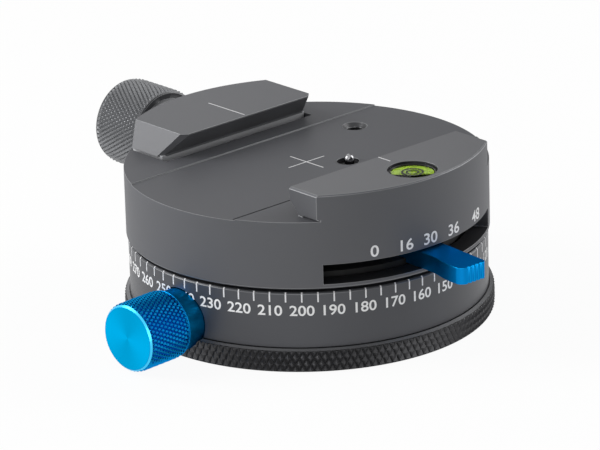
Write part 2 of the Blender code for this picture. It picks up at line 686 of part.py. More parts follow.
def make_index_plate():
    """The click plate: one ring of pockets for each count, and a smooth groove for free panning."""
    bottom = INDEX_SEAT + SEAT_GAP
    plate = turned(
        "index_plate", tube(INDEX_RADIUS - SEAT_GAP, INDEX_BORE_RADIUS, INDEX_TOP, bottom),
        "black_steel", None, sides=BODY_SIDES)
    slope = POCKET_MOUTH_RADIUS / POCKET_DEPTH
    rods = []
    for count, stop in CLICK_STOPS.items():
        radius = SLIDER_RADIUS + SPIRAL_RATE * math.radians(stop)
        for at in ring_places(radius, count, INDEX_TOP, SLIDER_ANGLE):
            mouth = POCKET_MOUTH_RADIUS + slope * SEAT_GAP
            rods.append((at + UP * SEAT_GAP, at + DOWN * POCKET_DEPTH, mouth, 0))
    combine(plate, rods_mesh("pockets", rods, POCKET_SIDES))
    groove = SLIDER_RADIUS + SPIRAL_RATE * math.radians(FREE_STOP)
    inner, outer = groove - POCKET_MOUTH_RADIUS, groove + POCKET_MOUTH_RADIUS
    section = tube(outer, inner, INDEX_TOP + OVERRUN, INDEX_TOP - POCKET_DEPTH)
    combine(plate, profile_mesh("free_groove", section, True), sides=BODY_SIDES)
    return screw_holes(plate, INDEX_SCREW_PLACES, DOWN, INDEX_THICKNESS + OVERRUN)


def make_lock_guide():
    """The block inside the base that guides the lock shoe against the drum."""
    low = BASE_FLOOR + SEAT_GAP
    outer = math.sqrt(RING_INSIDE ** 2 - GUIDE_HALF_WIDTH ** 2) - SLIDE_GAP
    corner = (GUIDE_INNER_RADIUS, -GUIDE_HALF_WIDTH, low)
    far = (outer, GUIDE_HALF_WIDTH, low + GUIDE_HEIGHT)
    block = add_part("lock_guide", block_mesh("lock_guide", corner, far), "anodised_grey", turn=LOCK_ANGLE)
    bore = LOCK_STUD_RADIUS + SLIDE_GAP
    shoe_bore = LOCK_SHOE_RADIUS + RUN_GAP
    shoe_room = DRUM_RADIUS + SEAT_GAP + LOCK_SHOE_LENGTH + LOCK_TRAVEL + SLIDE_GAP
    inner, end = GUIDE_INNER_RADIUS - OVERRUN, outer + OVERRUN
    drill(block, [(lock_point(inner), lock_point(end), bore)], PART_SIDES)
    drill(block, [(lock_point(inner), lock_point(shoe_room), shoe_bore)], PART_SIDES)
    return blind_holes(block, guide_screw_places(low), UP, GUIDE_SCREW_LENGTH - FLOOR_THICKNESS)


def make_base_fixings():
    """The screws that hold the base together, seen from below, and the index plate's screws."""
    at = [place_at + UP * SEAT_GAP for place_at in BASE_SCREW_PLACES]
    screws("base_screw", at, UP, BASE_SCREW_LENGTH - 2 * SEAT_GAP, None)
    at = [place_at + UP * SEAT_GAP for place_at in POST_SCREW_PLACES]
    screws("post_screw", at, UP, POST_SCREW_LENGTH - 2 * SEAT_GAP, None)
    at = [place_at + UP * SEAT_GAP for place_at in guide_screw_places(BASE_BOTTOM)]
    screws("guide_screw", at, UP, GUIDE_SCREW_LENGTH - 2 * SEAT_GAP, None)
    at = [place_at + DOWN * SEAT_GAP for place_at in INDEX_SCREW_PLACES]
    screws("index_screw", at, DOWN, INDEX_SCREW_LENGTH - 2 * SEAT_GAP, None)


def make_bearings():
    """The washers above and below the post's flange, and the sleeve that the drum turns on."""
    washer_bore = POST_RADIUS + RUN_GAP
    top = UPPER_WASHER_TOP
    turned("upper_washer", tube(POST_FLANGE_RADIUS, UPPER_WASHER_BORE, top, top - WASHER_THICKNESS),
           "white_polymer", None)
    top = POST_TOP - POST_FLANGE_THICKNESS - SEAT_GAP
    turned("lower_washer", tube(POST_FLANGE_RADIUS, washer_bore, top, DRUM_TOP + SEAT_GAP),
           "white_polymer", None)
    top = DRUM_TOP - SEAT_GAP
    bottom = BASE_FLOOR + DRUM_FLOOR_CLEARANCE + SEAT_GAP
    turned("bearing_sleeve", tube(washer_bore + SLEEVE_WALL, washer_bore, top, bottom), "bronze", None)


def make_brake_drum():
    """The drum under the turning top. Its flange holds the top on the post, and the lock grips it."""
    flange_end = DRUM_TOP - DRUM_FLANGE_THICKNESS
    bottom = BASE_FLOOR + DRUM_FLOOR_CLEARANCE
    section = [
        (DRUM_FLANGE_RADIUS, DRUM_TOP), (DRUM_FLANGE_RADIUS, flange_end), (DRUM_RADIUS, flange_end),
        (DRUM_RADIUS, bottom), (DRUM_BORE, bottom), (DRUM_BORE, DRUM_TOP)]
    drum = turned("brake_drum", section, "steel", PAN_AXIS)
    screw_holes(drum, DRUM_SCREW_PLACES, UP, DRUM_FLANGE_THICKNESS + OVERRUN)
    at = [place_at + UP * SEAT_GAP for place_at in DRUM_SCREW_PLACES]
    screws("drum_screw", at, UP, DRUM_SCREW_LENGTH - 2 * SEAT_GAP, PAN_AXIS)


def rail_mesh(name, section, half_length):
    """A section across the jaws, as (y, z) points, drawn out along them."""
    mesh = outline_mesh(name, section, -half_length, half_length)
    mesh.transform(Matrix(((0, 0, 1, 0), (1, 0, 0, 0), (0, 1, 0, 0), (0, 0, 0, 1))))
    return mesh


def cut_deck(top):
    """Cuts the deck down beside the fixed jaw, and the shallow recess between the two strips."""
    over = JAW_HEIGHT + OVERRUN
    wide = BODY_RADIUS + OVERRUN
    root = STRIP_PROUD + FIXED_ROOT
    base = -FIXED_TIP - FIXED_UNDERCUT
    section = [
        (wide, over), (-FIXED_TIP, over), (-FIXED_TIP, root + FIXED_UNDERCUT), (base, root),
        (base, STRIP_PROUD), (wide, STRIP_PROUD)]
    combine(top, rail_mesh("deck_cut", section, wide))
    combine(top, block_mesh(
        "deck_recess", (-wide, -RECESS_HALF_WIDTH, 0), (wide, RECESS_HALF_WIDTH, STRIP_PROUD + OVERRUN)))
    for side, length in ((-1, FIXED_LEFT_LENGTH), (1, FIXED_RIGHT_LENGTH)):
        near, far = sorted((side * length, side * wide))
        combine(top, block_mesh("jaw_end", (near, -wide, STRIP_PROUD), (far, 0, over)))
        near, far = sorted((side * (length - RELIEF_DEPTH), side * wide))
        combine(top, block_mesh(
            "jaw_relief", (near, -wide, STRIP_PROUD), (far, base - OVERRUN, STRIP_PROUD + RELIEF_HEIGHT)))


def cut_jaw_pocket(top):
    """The seat and pocket at the rim that the movable jaw slides in, with the screw and pin holes."""
    over = JAW_HEIGHT + OVERRUN
    seat = SLAB_HALF_LENGTH + SLIDE_GAP
    front = FLANK_BASE - JAW_CLOSING - SLIDE_GAP
    combine(top, block_mesh("jaw_seat", (-seat, front, -JAW_SEAT_DEPTH), (seat, BODY_RADIUS + OVERRUN, over)))
    side = KEEL_HALF_WIDTH + SLIDE_GAP
    wall = side + POCKET_WALL
    floor = POCKET_BOTTOM - POCKET_FLOOR
    low = (-wall, BOSS_RADIUS - BOSS_WALL / 2, floor)
    high = (wall, SKIRT_INSIDE + SKIRT_WALL / 4, ROOF + OVERRUN)
    combine(top, block_mesh("pocket_walls", low, high), "UNION")
    combine(top, block_mesh(
        "pocket", (-side, POCKET_FRONT, POCKET_BOTTOM), (side, BODY_RADIUS + OVERRUN, over)))
    thread = JAW_SCREW_RADIUS + RUN_GAP
    start = JAW_SCREW_START - JAW_CLOSING - SLIDE_GAP
    drill(top, [(jaw_screw_point(start), jaw_screw_point(KEEL_FRONT), thread)], PART_SIDES)
    near, far = pin_points(POCKET_FRONT - GUIDE_PIN_ROOT - SEAT_GAP), pin_points(KEEL_FRONT)
    drill(top, [(a, b, GUIDE_PIN_RADIUS + SEAT_GAP) for a, b in zip(near, far)])
    relief = JAW_SPOT_FACE - JAW_CLOSING - SLIDE_GAP
    start, end = jaw_screw_point(relief), jaw_screw_point(BODY_RADIUS + OVERRUN)
    drill(top, [(start, end, JAW_NECK_RADIUS + 2 * SLIDE_GAP)], PART_SIDES)


def window_mesh():
    """The selector window, as a slice of a ring through the skirt."""
    outer, inner = BODY_RADIUS + OVERRUN, SKIRT_INSIDE - OVERRUN
    steps = range(BODY_SIDES // 4 + 1)
    first = WINDOW_CENTRE - WINDOW_HALF_SPAN
    turn = 2 * WINDOW_HALF_SPAN / steps[-1]
    arc = [polar(outer, first + turn * i) for i in steps]
    arc += [polar(inner, first + turn * i) for i in reversed(steps)]
    return outline_mesh("window", [point.xy for point in arc], WINDOW_BOTTOM, WINDOW_TOP)


def make_turning_top():
    """The turning top: deck, fixed jaw, skirt with the selector window, and the bearing boss."""
    c = RIM_CHAMFER
    section = [
        (0, JAW_HEIGHT), (BODY_RADIUS - c, JAW_HEIGHT), (BODY_RADIUS, JAW_HEIGHT - c),
        (BODY_RADIUS, ROTOR_BOTTOM + c), (BODY_RADIUS - c, ROTOR_BOTTOM), (SKIRT_INSIDE, ROTOR_BOTTOM),
        (SKIRT_INSIDE, ROOF), (BOSS_RADIUS, ROOF), (BOSS_RADIUS, BOSS_END), (BEARING_RADIUS, BOSS_END),
        (BEARING_RADIUS, -BEARING_SEAT_DEPTH), (0, -BEARING_SEAT_DEPTH)]
    top = turned("turning_top", section, "anodised_grey", PAN_AXIS, closed=False, sides=BODY_SIDES)
    cut_deck(top)
    cut_jaw_pocket(top)
    combine(top, window_mesh())
    travel_in = SPIRAL_RATE * math.radians(FREE_STOP)
    travel_out = SPIRAL_RATE * math.radians(CLICK_STOPS[48])
    room = SLIDER_HALF_LENGTH + SLIDE_GAP
    width = SLIDER_HALF_WIDTH + SLIDE_GAP
    low = (SLIDER_RADIUS + travel_in - room, -width, ROOF - OVERRUN)
    high = (SLIDER_RADIUS + travel_out + room, width, ROOF + SLIDER_RISE + SEAT_GAP)
    combine(top, block_mesh("slider_channel", low, high, SLIDER_ANGLE))
    level = Vector((0, -LEVEL_OFFSET, LEVEL_BOTTOM - SEAT_GAP))
    drill(top, [(level, level + UP * (LEVEL_DEPTH + OVERRUN), LEVEL_RADIUS + SEAT_GAP)], PART_SIDES)
    stop = Vector((STOP_X, STOP_Y, 0))
    accessory = Vector((ACCESSORY_X, ACCESSORY_Y, 0))
    drill(top, [
        (stop + DOWN * STOP_HOLE_DEPTH, stop + UP * OVERRUN, STOP_HOLE_RADIUS),
        (accessory + DOWN * (ROOF_THICKNESS + OVERRUN), accessory + UP * OVERRUN, ACCESSORY_RADIUS)],
        PART_SIDES // 2)
    mouths = ring_places(DRUM_SCREW_CIRCLE, DRUM_SCREW_COUNT, BOSS_END, DRUM_SCREW_TURN)
    blind_holes(top, mouths, UP, DRUM_SCREW_LENGTH - DRUM_FLANGE_THICKNESS)
    return top


def make_level():
    """The bubble level let into the fixed jaw: cup, fluid, bubble and lens."""
    y = -LEVEL_OFFSET
    inside = LEVEL_RADIUS - LEVEL_WALL
    floor = LEVEL_BOTTOM + LEVEL_FLOOR
    cup = [
        (0, floor), (inside, floor), (inside, LEVEL_TOP), (LEVEL_RADIUS, LEVEL_TOP),
        (LEVEL_RADIUS, LEVEL_BOTTOM), (0, LEVEL_BOTTOM)]
    cup_part = turned("level_cup", cup, "dark_ring", PAN_AXIS, closed=False, location=(0, y, 0))
    fluid_top = LEVEL_TOP - LEVEL_LENS_THICKNESS - SEAT_GAP
    filled = inside - SEAT_GAP
    well = BUBBLE_RADIUS + SEAT_GAP
    fluid = [
        (0, fluid_top - BUBBLE_DEPTH - SEAT_GAP), (well, fluid_top - BUBBLE_DEPTH - SEAT_GAP),
        (well, fluid_top), (filled, fluid_top), (filled, floor + SEAT_GAP), (0, floor + SEAT_GAP)]
    turned("level_fluid", fluid, "level_fluid", PAN_AXIS, closed=False, location=(0, y, 0))
    bubble = [(0, fluid_top), (BUBBLE_RADIUS, fluid_top), (0, fluid_top - BUBBLE_DEPTH)]
    turned("level_bubble", bubble, "clear_lens", PAN_AXIS, closed=False, sides=SMALL_SIDES,
           location=(0, y, 0))
    lens_low = LEVEL_TOP - LEVEL_LENS_THICKNESS
    lens = [(0, LEVEL_TOP), (filled, LEVEL_TOP), (filled, lens_low), (0, lens_low)]
    turned("level_lens", lens, "clear_lens", PAN_AXIS, closed=False, location=(0, y, 0))
    return cup_part


def make_stop_pin():
    """The sprung stop pin with a ball end, its spring and the sleeve that keeps it in."""
    sleeve_top = -STOP_SLEEVE_DROP
    sleeve_low = sleeve_top - STOP_SLEEVE_LENGTH
    sleeve = tube(STOP_HOLE_RADIUS - SEAT_GAP, STOP_PIN_RADIUS + RUN_GAP, sleeve_top, sleeve_low)
    turned("stop_sleeve", sleeve, "dark_ring", PAN_AXIS, sides=PART_SIDES // 2, location=(STOP_X, STOP_Y, 0))
    collar_top = sleeve_low - RUN_GAP
    collar_low = collar_top - STOP_COLLAR_HEIGHT
    ball = STOP_PIN_PROUD - STOP_PIN_RADIUS
    pin = []
    for i in range(BALL_STEPS + 1):
        angle = math.pi / 2 * i / BALL_STEPS
        pin.append((STOP_PIN_RADIUS * math.sin(angle), ball + STOP_PIN_RADIUS * math.cos(angle)))
    pin[0] = (0, STOP_PIN_PROUD)
    pin += [
        (STOP_PIN_RADIUS, collar_top), (STOP_COLLAR_RADIUS, collar_top), (STOP_COLLAR_RADIUS, collar_low),
        (0, collar_low)]
    turned("stop_pin", pin, "steel", STOP_AXIS, closed=False, sides=SMALL_SIDES)
    start = Vector((STOP_X, STOP_Y, -STOP_HOLE_DEPTH + SEAT_GAP))
    end = Vector((STOP_X, STOP_Y, collar_low - SEAT_GAP))
    spring("stop_spring", STOP_SPRING_RADIUS, STOP_SPRING_WIRE, start, end, STOP_SPRING_TURNS, PAN_AXIS)


def make_movable_jaw():
    """The movable jaw: a bevelled flank over the deck, a slab in the seat and a keel in the pocket."""
    tip = JAW_TIP
    lip_end = JAW_HEIGHT - JAW_LIP
    root = JAW_BOTTOM + JAW_ROOT
    back = BODY_RADIUS + OVERRUN
    section = [
        (tip, JAW_HEIGHT), (tip, lip_end), (FLANK_BASE, root), (FLANK_BASE, JAW_BOTTOM),
        (back, JAW_BOTTOM), (back, JAW_HEIGHT)]
    half = JAW_HALF_LENGTH + JAW_END_SPREAD
    rail = rail_mesh("movable_jaw", section, half + OVERRUN)
    jaw = add_part("movable_jaw", rail, "anodised_grey", JAW_RAIL)
    lean = math.atan2(JAW_END_SPREAD, JAW_HEIGHT - JAW_BOTTOM)
    reach = BODY_RADIUS
    for side in (-1, 1):
        ends = sorted((0, side * reach))
        wedge = block_mesh("slant_end", (ends[0], 0, -reach), (ends[1], back + OVERRUN, reach))
        wedge.transform(Matrix.Rotation(-side * lean, 4, "Y"))
        wedge.transform(Matrix.Translation((side * JAW_HALF_LENGTH, 0, JAW_HEIGHT)))
        combine(jaw, wedge)
    overlap = JAW_BOTTOM + JAW_ROOT / 2
    combine(jaw, block_mesh(
        "slab", (-SLAB_HALF_LENGTH, FLANK_BASE, SLAB_BOTTOM), (SLAB_HALF_LENGTH, back, overlap)), "UNION")
    combine(jaw, block_mesh(
        "keel", (-KEEL_HALF_WIDTH, KEEL_FRONT, -KEEL_DEPTH), (KEEL_HALF_WIDTH, back, overlap)), "UNION")
    high, low = JAW_HEIGHT + OVERRUN, -KEEL_DEPTH - OVERRUN
    rim = [(0, high), (JAW_RADIUS, high), (JAW_RADIUS, low), (0, low)]
    combine(jaw, profile_mesh("rim", rim, False), "INTERSECT", sides=BODY_SIDES)
    screw_bore = JAW_SCREW_RADIUS + SLIDE_GAP
    start, end = jaw_screw_point(KEEL_FRONT - OVERRUN), jaw_screw_point(back)
    drill(jaw, [(start, end, screw_bore)], PART_SIDES)
    spot = JAW_NECK_RADIUS + SLIDE_GAP
    drill(jaw, [(jaw_screw_point(JAW_SPOT_FACE), end, spot)], PART_SIDES)
    pin_room = POCKET_FRONT + GUIDE_PIN_REACH + JAW_CLOSING + SLIDE_GAP
    near, far = pin_points(KEEL_FRONT - OVERRUN), pin_points(pin_room)
    drill(jaw, [(a, b, GUIDE_PIN_RADIUS + RUN_GAP) for a, b in zip(near, far)])
    far = pin_points(KEEL_FRONT + SPRING_POCKET_DEPTH)
    drill(jaw, [(a, b, SPRING_POCKET_RADIUS) for a, b in zip(near, far)], SMALL_SIDES)
    return jaw


def make_jaw_guides():
    """The two guide pins set in the pocket's front wall, and the springs that open the jaw."""
    pin_ends = zip(pin_points(POCKET_FRONT - GUIDE_PIN_ROOT), pin_points(POCKET_FRONT + GUIDE_PIN_REACH))
    for side, (start, end) in zip(("left", "right"), pin_ends):
        rod = rods_mesh("guide_pin", [(start, end, GUIDE_PIN_RADIUS, GUIDE_PIN_RADIUS)], SMALL_SIDES)
        add_part(f"guide_pin_{side}", rod, "steel", PAN_AXIS)
    spring_end = KEEL_FRONT + SPRING_POCKET_DEPTH - SEAT_GAP
    spring_ends = zip(pin_points(POCKET_FRONT + SEAT_GAP), pin_points(spring_end))
    for side, (start, end) in zip(("left", "right"), spring_ends):
        spring(f"jaw_spring_{side}", JAW_SPRING_RADIUS, JAW_SPRING_WIRE, start, end, JAW_SPRING_TURNS,
               PAN_AXIS)


def make_jaw_knob():
    """The jaw knob: a knurled grip with a smooth neck, on its screw, with a washer behind it."""
    bore = JAW_SCREW_RADIUS + SEAT_GAP
    washer = tube(JAW_WASHER_RADIUS, bore, JAW_WASHER_END, JAW_WASHER_END - JAW_WASHER_THICKNESS)
    turned("jaw_washer", washer, "bronze", JAW_SCREW_AXIS)
    low = JAW_WASHER_END + SEAT_GAP
    neck_end = JAW_NECK_END
    far = neck_end + JAW_KNOB_LENGTH
    c = KNOB_CHAMFER
    socket_end = JAW_SCREW_END + SEAT_GAP
    section = [
        (0, far), (JAW_KNOB_RADIUS - c, far), (JAW_KNOB_RADIUS, far - c), (JAW_KNOB_RADIUS, neck_end + c),
        (JAW_KNOB_RADIUS - c, neck_end), (JAW_NECK_RADIUS, neck_end), (JAW_NECK_RADIUS, low), (bore, low),
        (bore, socket_end), (0, socket_end)]
    knob = turned("jaw_knob", section, "knurled_black", JAW_SCREW_AXIS, closed=False)
    screw = [
        (0, JAW_SCREW_END), (JAW_SCREW_RADIUS, JAW_SCREW_END), (JAW_SCREW_RADIUS, JAW_SCREW_START),
        (0, JAW_SCREW_START)]
    turned("jaw_screw", screw, "steel", JAW_SCREW_AXIS, closed=False, sides=PART_SIDES // 2)
    return knob


def round_end(start, end):
    """The half circle between two corners of an outline that runs clockwise, without the corners."""
    middle = (start + end) / 2
    turns = [-math.pi * i / SLOT_END_STEPS for i in range(1, SLOT_END_STEPS)]
    return [middle + Matrix.Rotation(turn, 3, "Z") @ (start - middle) for turn in turns]


def spiral_slot():
    """The outline of the selector disc's spiral slot, which moves the click slider in and out."""
    half = FOLLOWER_RADIUS + RUN_GAP
    first, last = math.radians(FREE_STOP), math.radians(CLICK_STOPS[48])
    left, right = [], []
    for i in range(SPIRAL_STEPS + 1):
        turn = first + (last - first) * i / SPIRAL_STEPS
        radius = SLIDER_RADIUS + SPIRAL_RATE * turn
        angle = SLIDER_ANGLE - turn
        centre = polar(radius, angle)
        along = polar(SPIRAL_RATE, angle) - polar(radius, angle + math.pi / 2)
        side = Vector((-along.y, along.x, 0)).normalized() * half
        left.append(centre + side)
        right.append(centre - side)
    outline = left + round_end(left[-1], right[-1]) + right[::-1] + round_end(right[0], left[0])
    return [point.xy for point in outline]


def make_selector_disc():
    """The disc that the lever turns. Its spiral slot carries the click slider from ring to ring."""
    disc = turned(
        "selector_disc", tube(DISC_RADIUS, DISC_BORE, DISC_TOP, DISC_BOTTOM), "black_steel",
        SELECTOR_AXIS, sides=BODY_SIDES)
    combine(disc, outline_mesh("spiral", spiral_slot(), DISC_BOTTOM - OVERRUN, DISC_TOP + OVERRUN))
    mouths = [polar(radius, LEVER_ANGLE, DISC_TOP + OVERRUN) for radius in LEVER_SCREW_RADII]
    return blind_holes(disc, mouths, DOWN, DISC_THICKNESS + 2 * OVERRUN)


def lever_outline():
    """The lever's blade from above, along +X from the pan axis: one side flares, and the end has ribs."""
    root, tip = LEVER_BODY_WIDTH / 2, LEVER_TIP_WIDTH / 2
    start = SKIRT_INSIDE - DISC_RIM_GAP + SLIDE_GAP
    points = [(start, root), (BODY_RADIUS, root), (LEVER_REACH - LEVER_CORNER, tip)]
    first, last = tip - LEVER_CORNER, LEVER_ROUND - LEVER_FLARE_SIDE
    rib = (first - last) / LEVER_RIBS
    low = LEVER_REACH - LEVER_RIB_DEPTH
    for i in range(LEVER_RIBS):
        y = first - rib * i
        points += [(LEVER_REACH, y), (LEVER_REACH, y - rib / 2), (low, y - rib / 2), (low, y - rib)]
    for i in range(LEVER_ROUND_STEPS + 1):
        bend = math.pi / 2 * i / LEVER_ROUND_STEPS
        points.append((LEVER_REACH - LEVER_ROUND * (1 - math.cos(bend)), last - LEVER_ROUND * math.sin(bend)))
    neck_end = BODY_RADIUS + LEVER_NECK_PROUD
    reach = LEVER_REACH - LEVER_ROUND - neck_end
    spread = LEVER_FLARE_SIDE - LEVER_NECK_SIDE
    for along, across in reversed(LEVER_FLARE_SHARES[:-1]):
        points.append((neck_end + reach * along, -LEVER_NECK_SIDE - spread * across))
    return points + [(start, -LEVER_NECK_SIDE)]


def make_lever():
    """The selector lever: a blade out through the window, on a tongue screwed to the disc."""
    blade = outline_mesh("lever", lever_outline(), LEVER_BOTTOM, LEVER_TOP)
    lever = add_part("lever", blade, "blue_anodised", SELECTOR_AXIS, turn=LEVER_ANGLE)
    low = DISC_TOP + SEAT_GAP
    half = LEVER_ROOT_WIDTH / 2
    tongue = block_mesh("tongue", (LEVER_ROOT, -half, low), (SKIRT_INSIDE - SLIDE_GAP, half, LEVER_TOP),
                        LEVER_ANGLE)
    combine(lever, tongue, "UNION")
    heads = [polar(radius, LEVER_ANGLE, LEVER_TOP) for radius in LEVER_SCREW_RADII]
    screw_holes(lever, heads, DOWN, LEVER_TOP - DISC_BOTTOM)
    at = [head + DOWN * SEAT_GAP for head in heads]
    screws("lever_screw", at, DOWN, LEVER_SCREW_LENGTH, SELECTOR_AXIS)
    return lever


def make_click_slider():
    """The click slider, with a follower in the spiral slot, and the sprung plunger inside it."""
    low = DISC_TOP + SLIDE_GAP
    high = ROOF + SLIDER_RISE - RUN_GAP
    half, width = SLIDER_HALF_LENGTH, SLIDER_HALF_WIDTH
    slider = add_part("click_slider", block_mesh(
        "click_slider", (SLIDER_RADIUS - half, -width, low), (SLIDER_RADIUS + half, width, high)),
        "bronze", SLIDER_RAIL)
    centre = polar(SLIDER_RADIUS, SLIDER_ANGLE)
    follower_end = INDEX_TOP + SLIDE_GAP
    combine(slider, rods_mesh("follower", [
        (centre + UP * follower_end, centre + UP * (low + SLIDE_GAP), FOLLOWER_RADIUS, FOLLOWER_RADIUS)],
        PART_SIDES // 2), "UNION")
    tip = INDEX_TOP + SEAT_GAP / 2
    head_low = tip + PLUNGER_LENGTH
    ledge = head_low - PLUNGER_TRAVEL - SEAT_GAP
    drill(slider, [(centre + UP * (follower_end - OVERRUN), centre + UP * (high + OVERRUN),
                    PLUNGER_RADIUS + RUN_GAP)])
    drill(slider, [(centre + UP * ledge, centre + UP * (high + OVERRUN), PLUNGER_HEAD_RADIUS + RUN_GAP)])
    head_top = head_low + PLUNGER_HEAD_HEIGHT
    section = [
        (0, head_top), (PLUNGER_HEAD_RADIUS, head_top), (PLUNGER_HEAD_RADIUS, head_low),
        (PLUNGER_RADIUS, head_low), (PLUNGER_RADIUS, tip + PLUNGER_TIP_LENGTH), (PLUNGER_TIP_RADIUS, tip),
        (0, tip)]
    turned("click_plunger", section, "steel", PLUNGER_AXIS, closed=False, sides=SMALL_SIDES)
    spring("click_spring", CLICK_SPRING_RADIUS, CLICK_SPRING_WIRE,
           (0, 0, head_top + SEAT_GAP), (0, 0, high), CLICK_SPRING_TURNS, PLUNGER_AXIS)
    return slider


def make_lock():
    """The lock: knob and stud, turning in the degree ring, and the shoe that the stud pushes in."""
    shoe_low = DRUM_RADIUS + SEAT_GAP
    shoe_high = shoe_low + LOCK_SHOE_LENGTH
    socket = LOCK_NUB_RADIUS + SEAT_GAP
    socket_low = shoe_high - LOCK_NUB_LENGTH - SEAT_GAP
    shoe = [
        (0, socket_low), (socket, socket_low), (socket, shoe_high), (LOCK_SHOE_RADIUS, shoe_high),
        (LOCK_SHOE_RADIUS, shoe_low), (0, shoe_low)]
    turned("lock_shoe", shoe, "bronze", LOCK_AXIS, closed=False)
    stud_low = shoe_high + SEAT_GAP
    stud_high = LOCK_COLLAR_START + LOCK_STUD_ENGAGEMENT
    nub = stud_low - LOCK_NUB_LENGTH
    stud = [
        (0, stud_high), (LOCK_STUD_RADIUS, stud_high), (LOCK_STUD_RADIUS, stud_low),
        (LOCK_NUB_RADIUS, stud_low), (LOCK_NUB_RADIUS, nub), (0, nub)]
    turned("lock_stud", stud, "steel", LOCK_AXIS, closed=False, sides=PART_SIDES // 2)
    c = KNOB_CHAMFER
    start, grip, end = LOCK_COLLAR_START, LOCK_GRIP_START, LOCK_KNOB_END
    bore = LOCK_STUD_RADIUS + SEAT_GAP
    knob = [
        (0, end), (LOCK_KNOB_RADIUS - c, end), (LOCK_KNOB_RADIUS, end - c), (LOCK_KNOB_RADIUS, grip + c),
        (LOCK_KNOB_RADIUS - c, grip), (LOCK_COLLAR_RADIUS, grip), (LOCK_COLLAR_RADIUS, start),
        (bore, start), (bore, stud_high + SEAT_GAP), (0, stud_high + SEAT_GAP)]
    return turned("lock_knob", knob, "blue_anodised", LOCK_AXIS, closed=False)


def settle(part):
    """Replaces a part's modifiers with their result, shaded smooth between its sharp edges."""
    if part.type != "MESH":
        return
    shape = part.evaluated_get(bpy.context.evaluated_depsgraph_get())
    mesh = bpy.data.meshes.new_from_object(shape)
    mesh.materials.clear()
    mesh.materials.append(part.data.materials[0])
    part.modifiers.clear()
    part.data = mesh
    mesh.shade_smooth()
    mesh.set_sharp_from_angle(angle=SHARP_ANGLE)


make_base_plate()
make_scale_ring()
make_post()
make_tripod_bush()
make_index_plate()
make_lock_guide()
make_base_fixings()
make_bearings()
make_brake_drum()
make_turning_top()
make_level()
make_stop_pin()
make_movable_jaw()
make_jaw_guides()
make_jaw_knob()
make_selector_disc()
make_lever()
make_click_slider()
make_lock()

bpy.context.view_layer.update()
for part in list(PARTS.objects):
    settle(part)
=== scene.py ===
"""A panning plate with a dovetail clamp, a degree ring, a click-stop lever and a lock knob."""

import math

import bmesh
import bpy
from mathutils import Matrix, Vector


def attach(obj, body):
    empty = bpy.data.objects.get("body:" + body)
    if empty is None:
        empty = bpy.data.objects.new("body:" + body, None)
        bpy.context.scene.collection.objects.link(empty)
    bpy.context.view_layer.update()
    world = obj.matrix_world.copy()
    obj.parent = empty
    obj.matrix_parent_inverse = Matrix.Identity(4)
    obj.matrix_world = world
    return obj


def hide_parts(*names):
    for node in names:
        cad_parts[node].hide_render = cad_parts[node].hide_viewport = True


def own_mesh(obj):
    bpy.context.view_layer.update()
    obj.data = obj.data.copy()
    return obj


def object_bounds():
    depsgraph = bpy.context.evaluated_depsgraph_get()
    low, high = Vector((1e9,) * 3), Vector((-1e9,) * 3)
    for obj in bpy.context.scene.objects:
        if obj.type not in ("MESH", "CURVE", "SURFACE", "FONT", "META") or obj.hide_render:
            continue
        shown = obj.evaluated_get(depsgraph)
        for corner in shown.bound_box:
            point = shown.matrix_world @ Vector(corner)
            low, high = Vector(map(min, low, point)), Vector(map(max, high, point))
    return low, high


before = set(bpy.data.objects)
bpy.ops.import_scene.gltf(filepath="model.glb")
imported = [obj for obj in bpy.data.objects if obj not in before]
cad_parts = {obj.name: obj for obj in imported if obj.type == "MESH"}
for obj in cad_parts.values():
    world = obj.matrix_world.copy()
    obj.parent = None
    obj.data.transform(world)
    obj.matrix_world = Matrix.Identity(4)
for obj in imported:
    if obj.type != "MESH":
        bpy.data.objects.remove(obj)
cad_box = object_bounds()


# Studio
# The object stands on a pale sheet in a white room. Large soft lamps light its left and right flanks, a
# weak one its front, and two black cards, which the camera doesn't see, shade its right side and back.
MM = 0.001

AIM = Vector((0, 0, -12.0 * MM))
CAMERA_DISTANCE = 718.03 * MM
CAMERA_TURN = math.radians(-42.4)
CAMERA_DIP = 0.3526  # radians, as the roll is
CAMERA_ROLL = 0.0276
FOCAL_LENGTH = 260.9
FRAME_SHIFT = (-0.01363, 0.00735)


def placed(name, data):
    """Puts an object that holds a mesh, a lamp or a lens in the scene."""
    holder = bpy.data.objects.new(name, data)
    bpy.context.scene.collection.objects.link(holder)
    return holder


turn = Matrix.Rotation(CAMERA_TURN, 3, "Z")
forward = turn @ Vector((0, math.cos(CAMERA_DIP), -math.sin(CAMERA_DIP)))
level_up = turn @ Vector((0, math.sin(CAMERA_DIP), math.cos(CAMERA_DIP)))
level_right = turn @ Vector((1, 0, 0))
right = math.cos(CAMERA_ROLL) * level_right - math.sin(CAMERA_ROLL) * level_up
up = math.sin(CAMERA_ROLL) * level_right + math.cos(CAMERA_ROLL) * level_up

lens = bpy.data.cameras.new("camera")
lens.sensor_width = 36.0
lens.lens = FOCAL_LENGTH
lens.shift_x, lens.shift_y = FRAME_SHIFT
lens.clip_start = 10 * MM
camera = placed("camera", lens)
camera.matrix_world = Matrix.Translation(AIM - forward * CAMERA_DISTANCE) @ Matrix(
    (right, up, -forward)).transposed().to_4x4()
bpy.context.scene.camera = camera
bpy.context.scene.view_settings.view_transform = "Standard"


def softbox(name, bearing, height, distance, size, power):
    """A square lamp that faces the object from a bearing about the pan axis, in degrees."""
    lamp = bpy.data.lights.new(name, "AREA")
    lamp.shape = "RECTANGLE"
    lamp.size, lamp.size_y = size
    lamp.energy = power
    toward = math.radians(bearing)
    holder = placed(name, lamp)
    holder.location = Vector((math.cos(toward), math.sin(toward), height)) * distance
    holder.rotation_euler = (holder.location - AIM).to_track_quat("Z", "Y").to_euler()


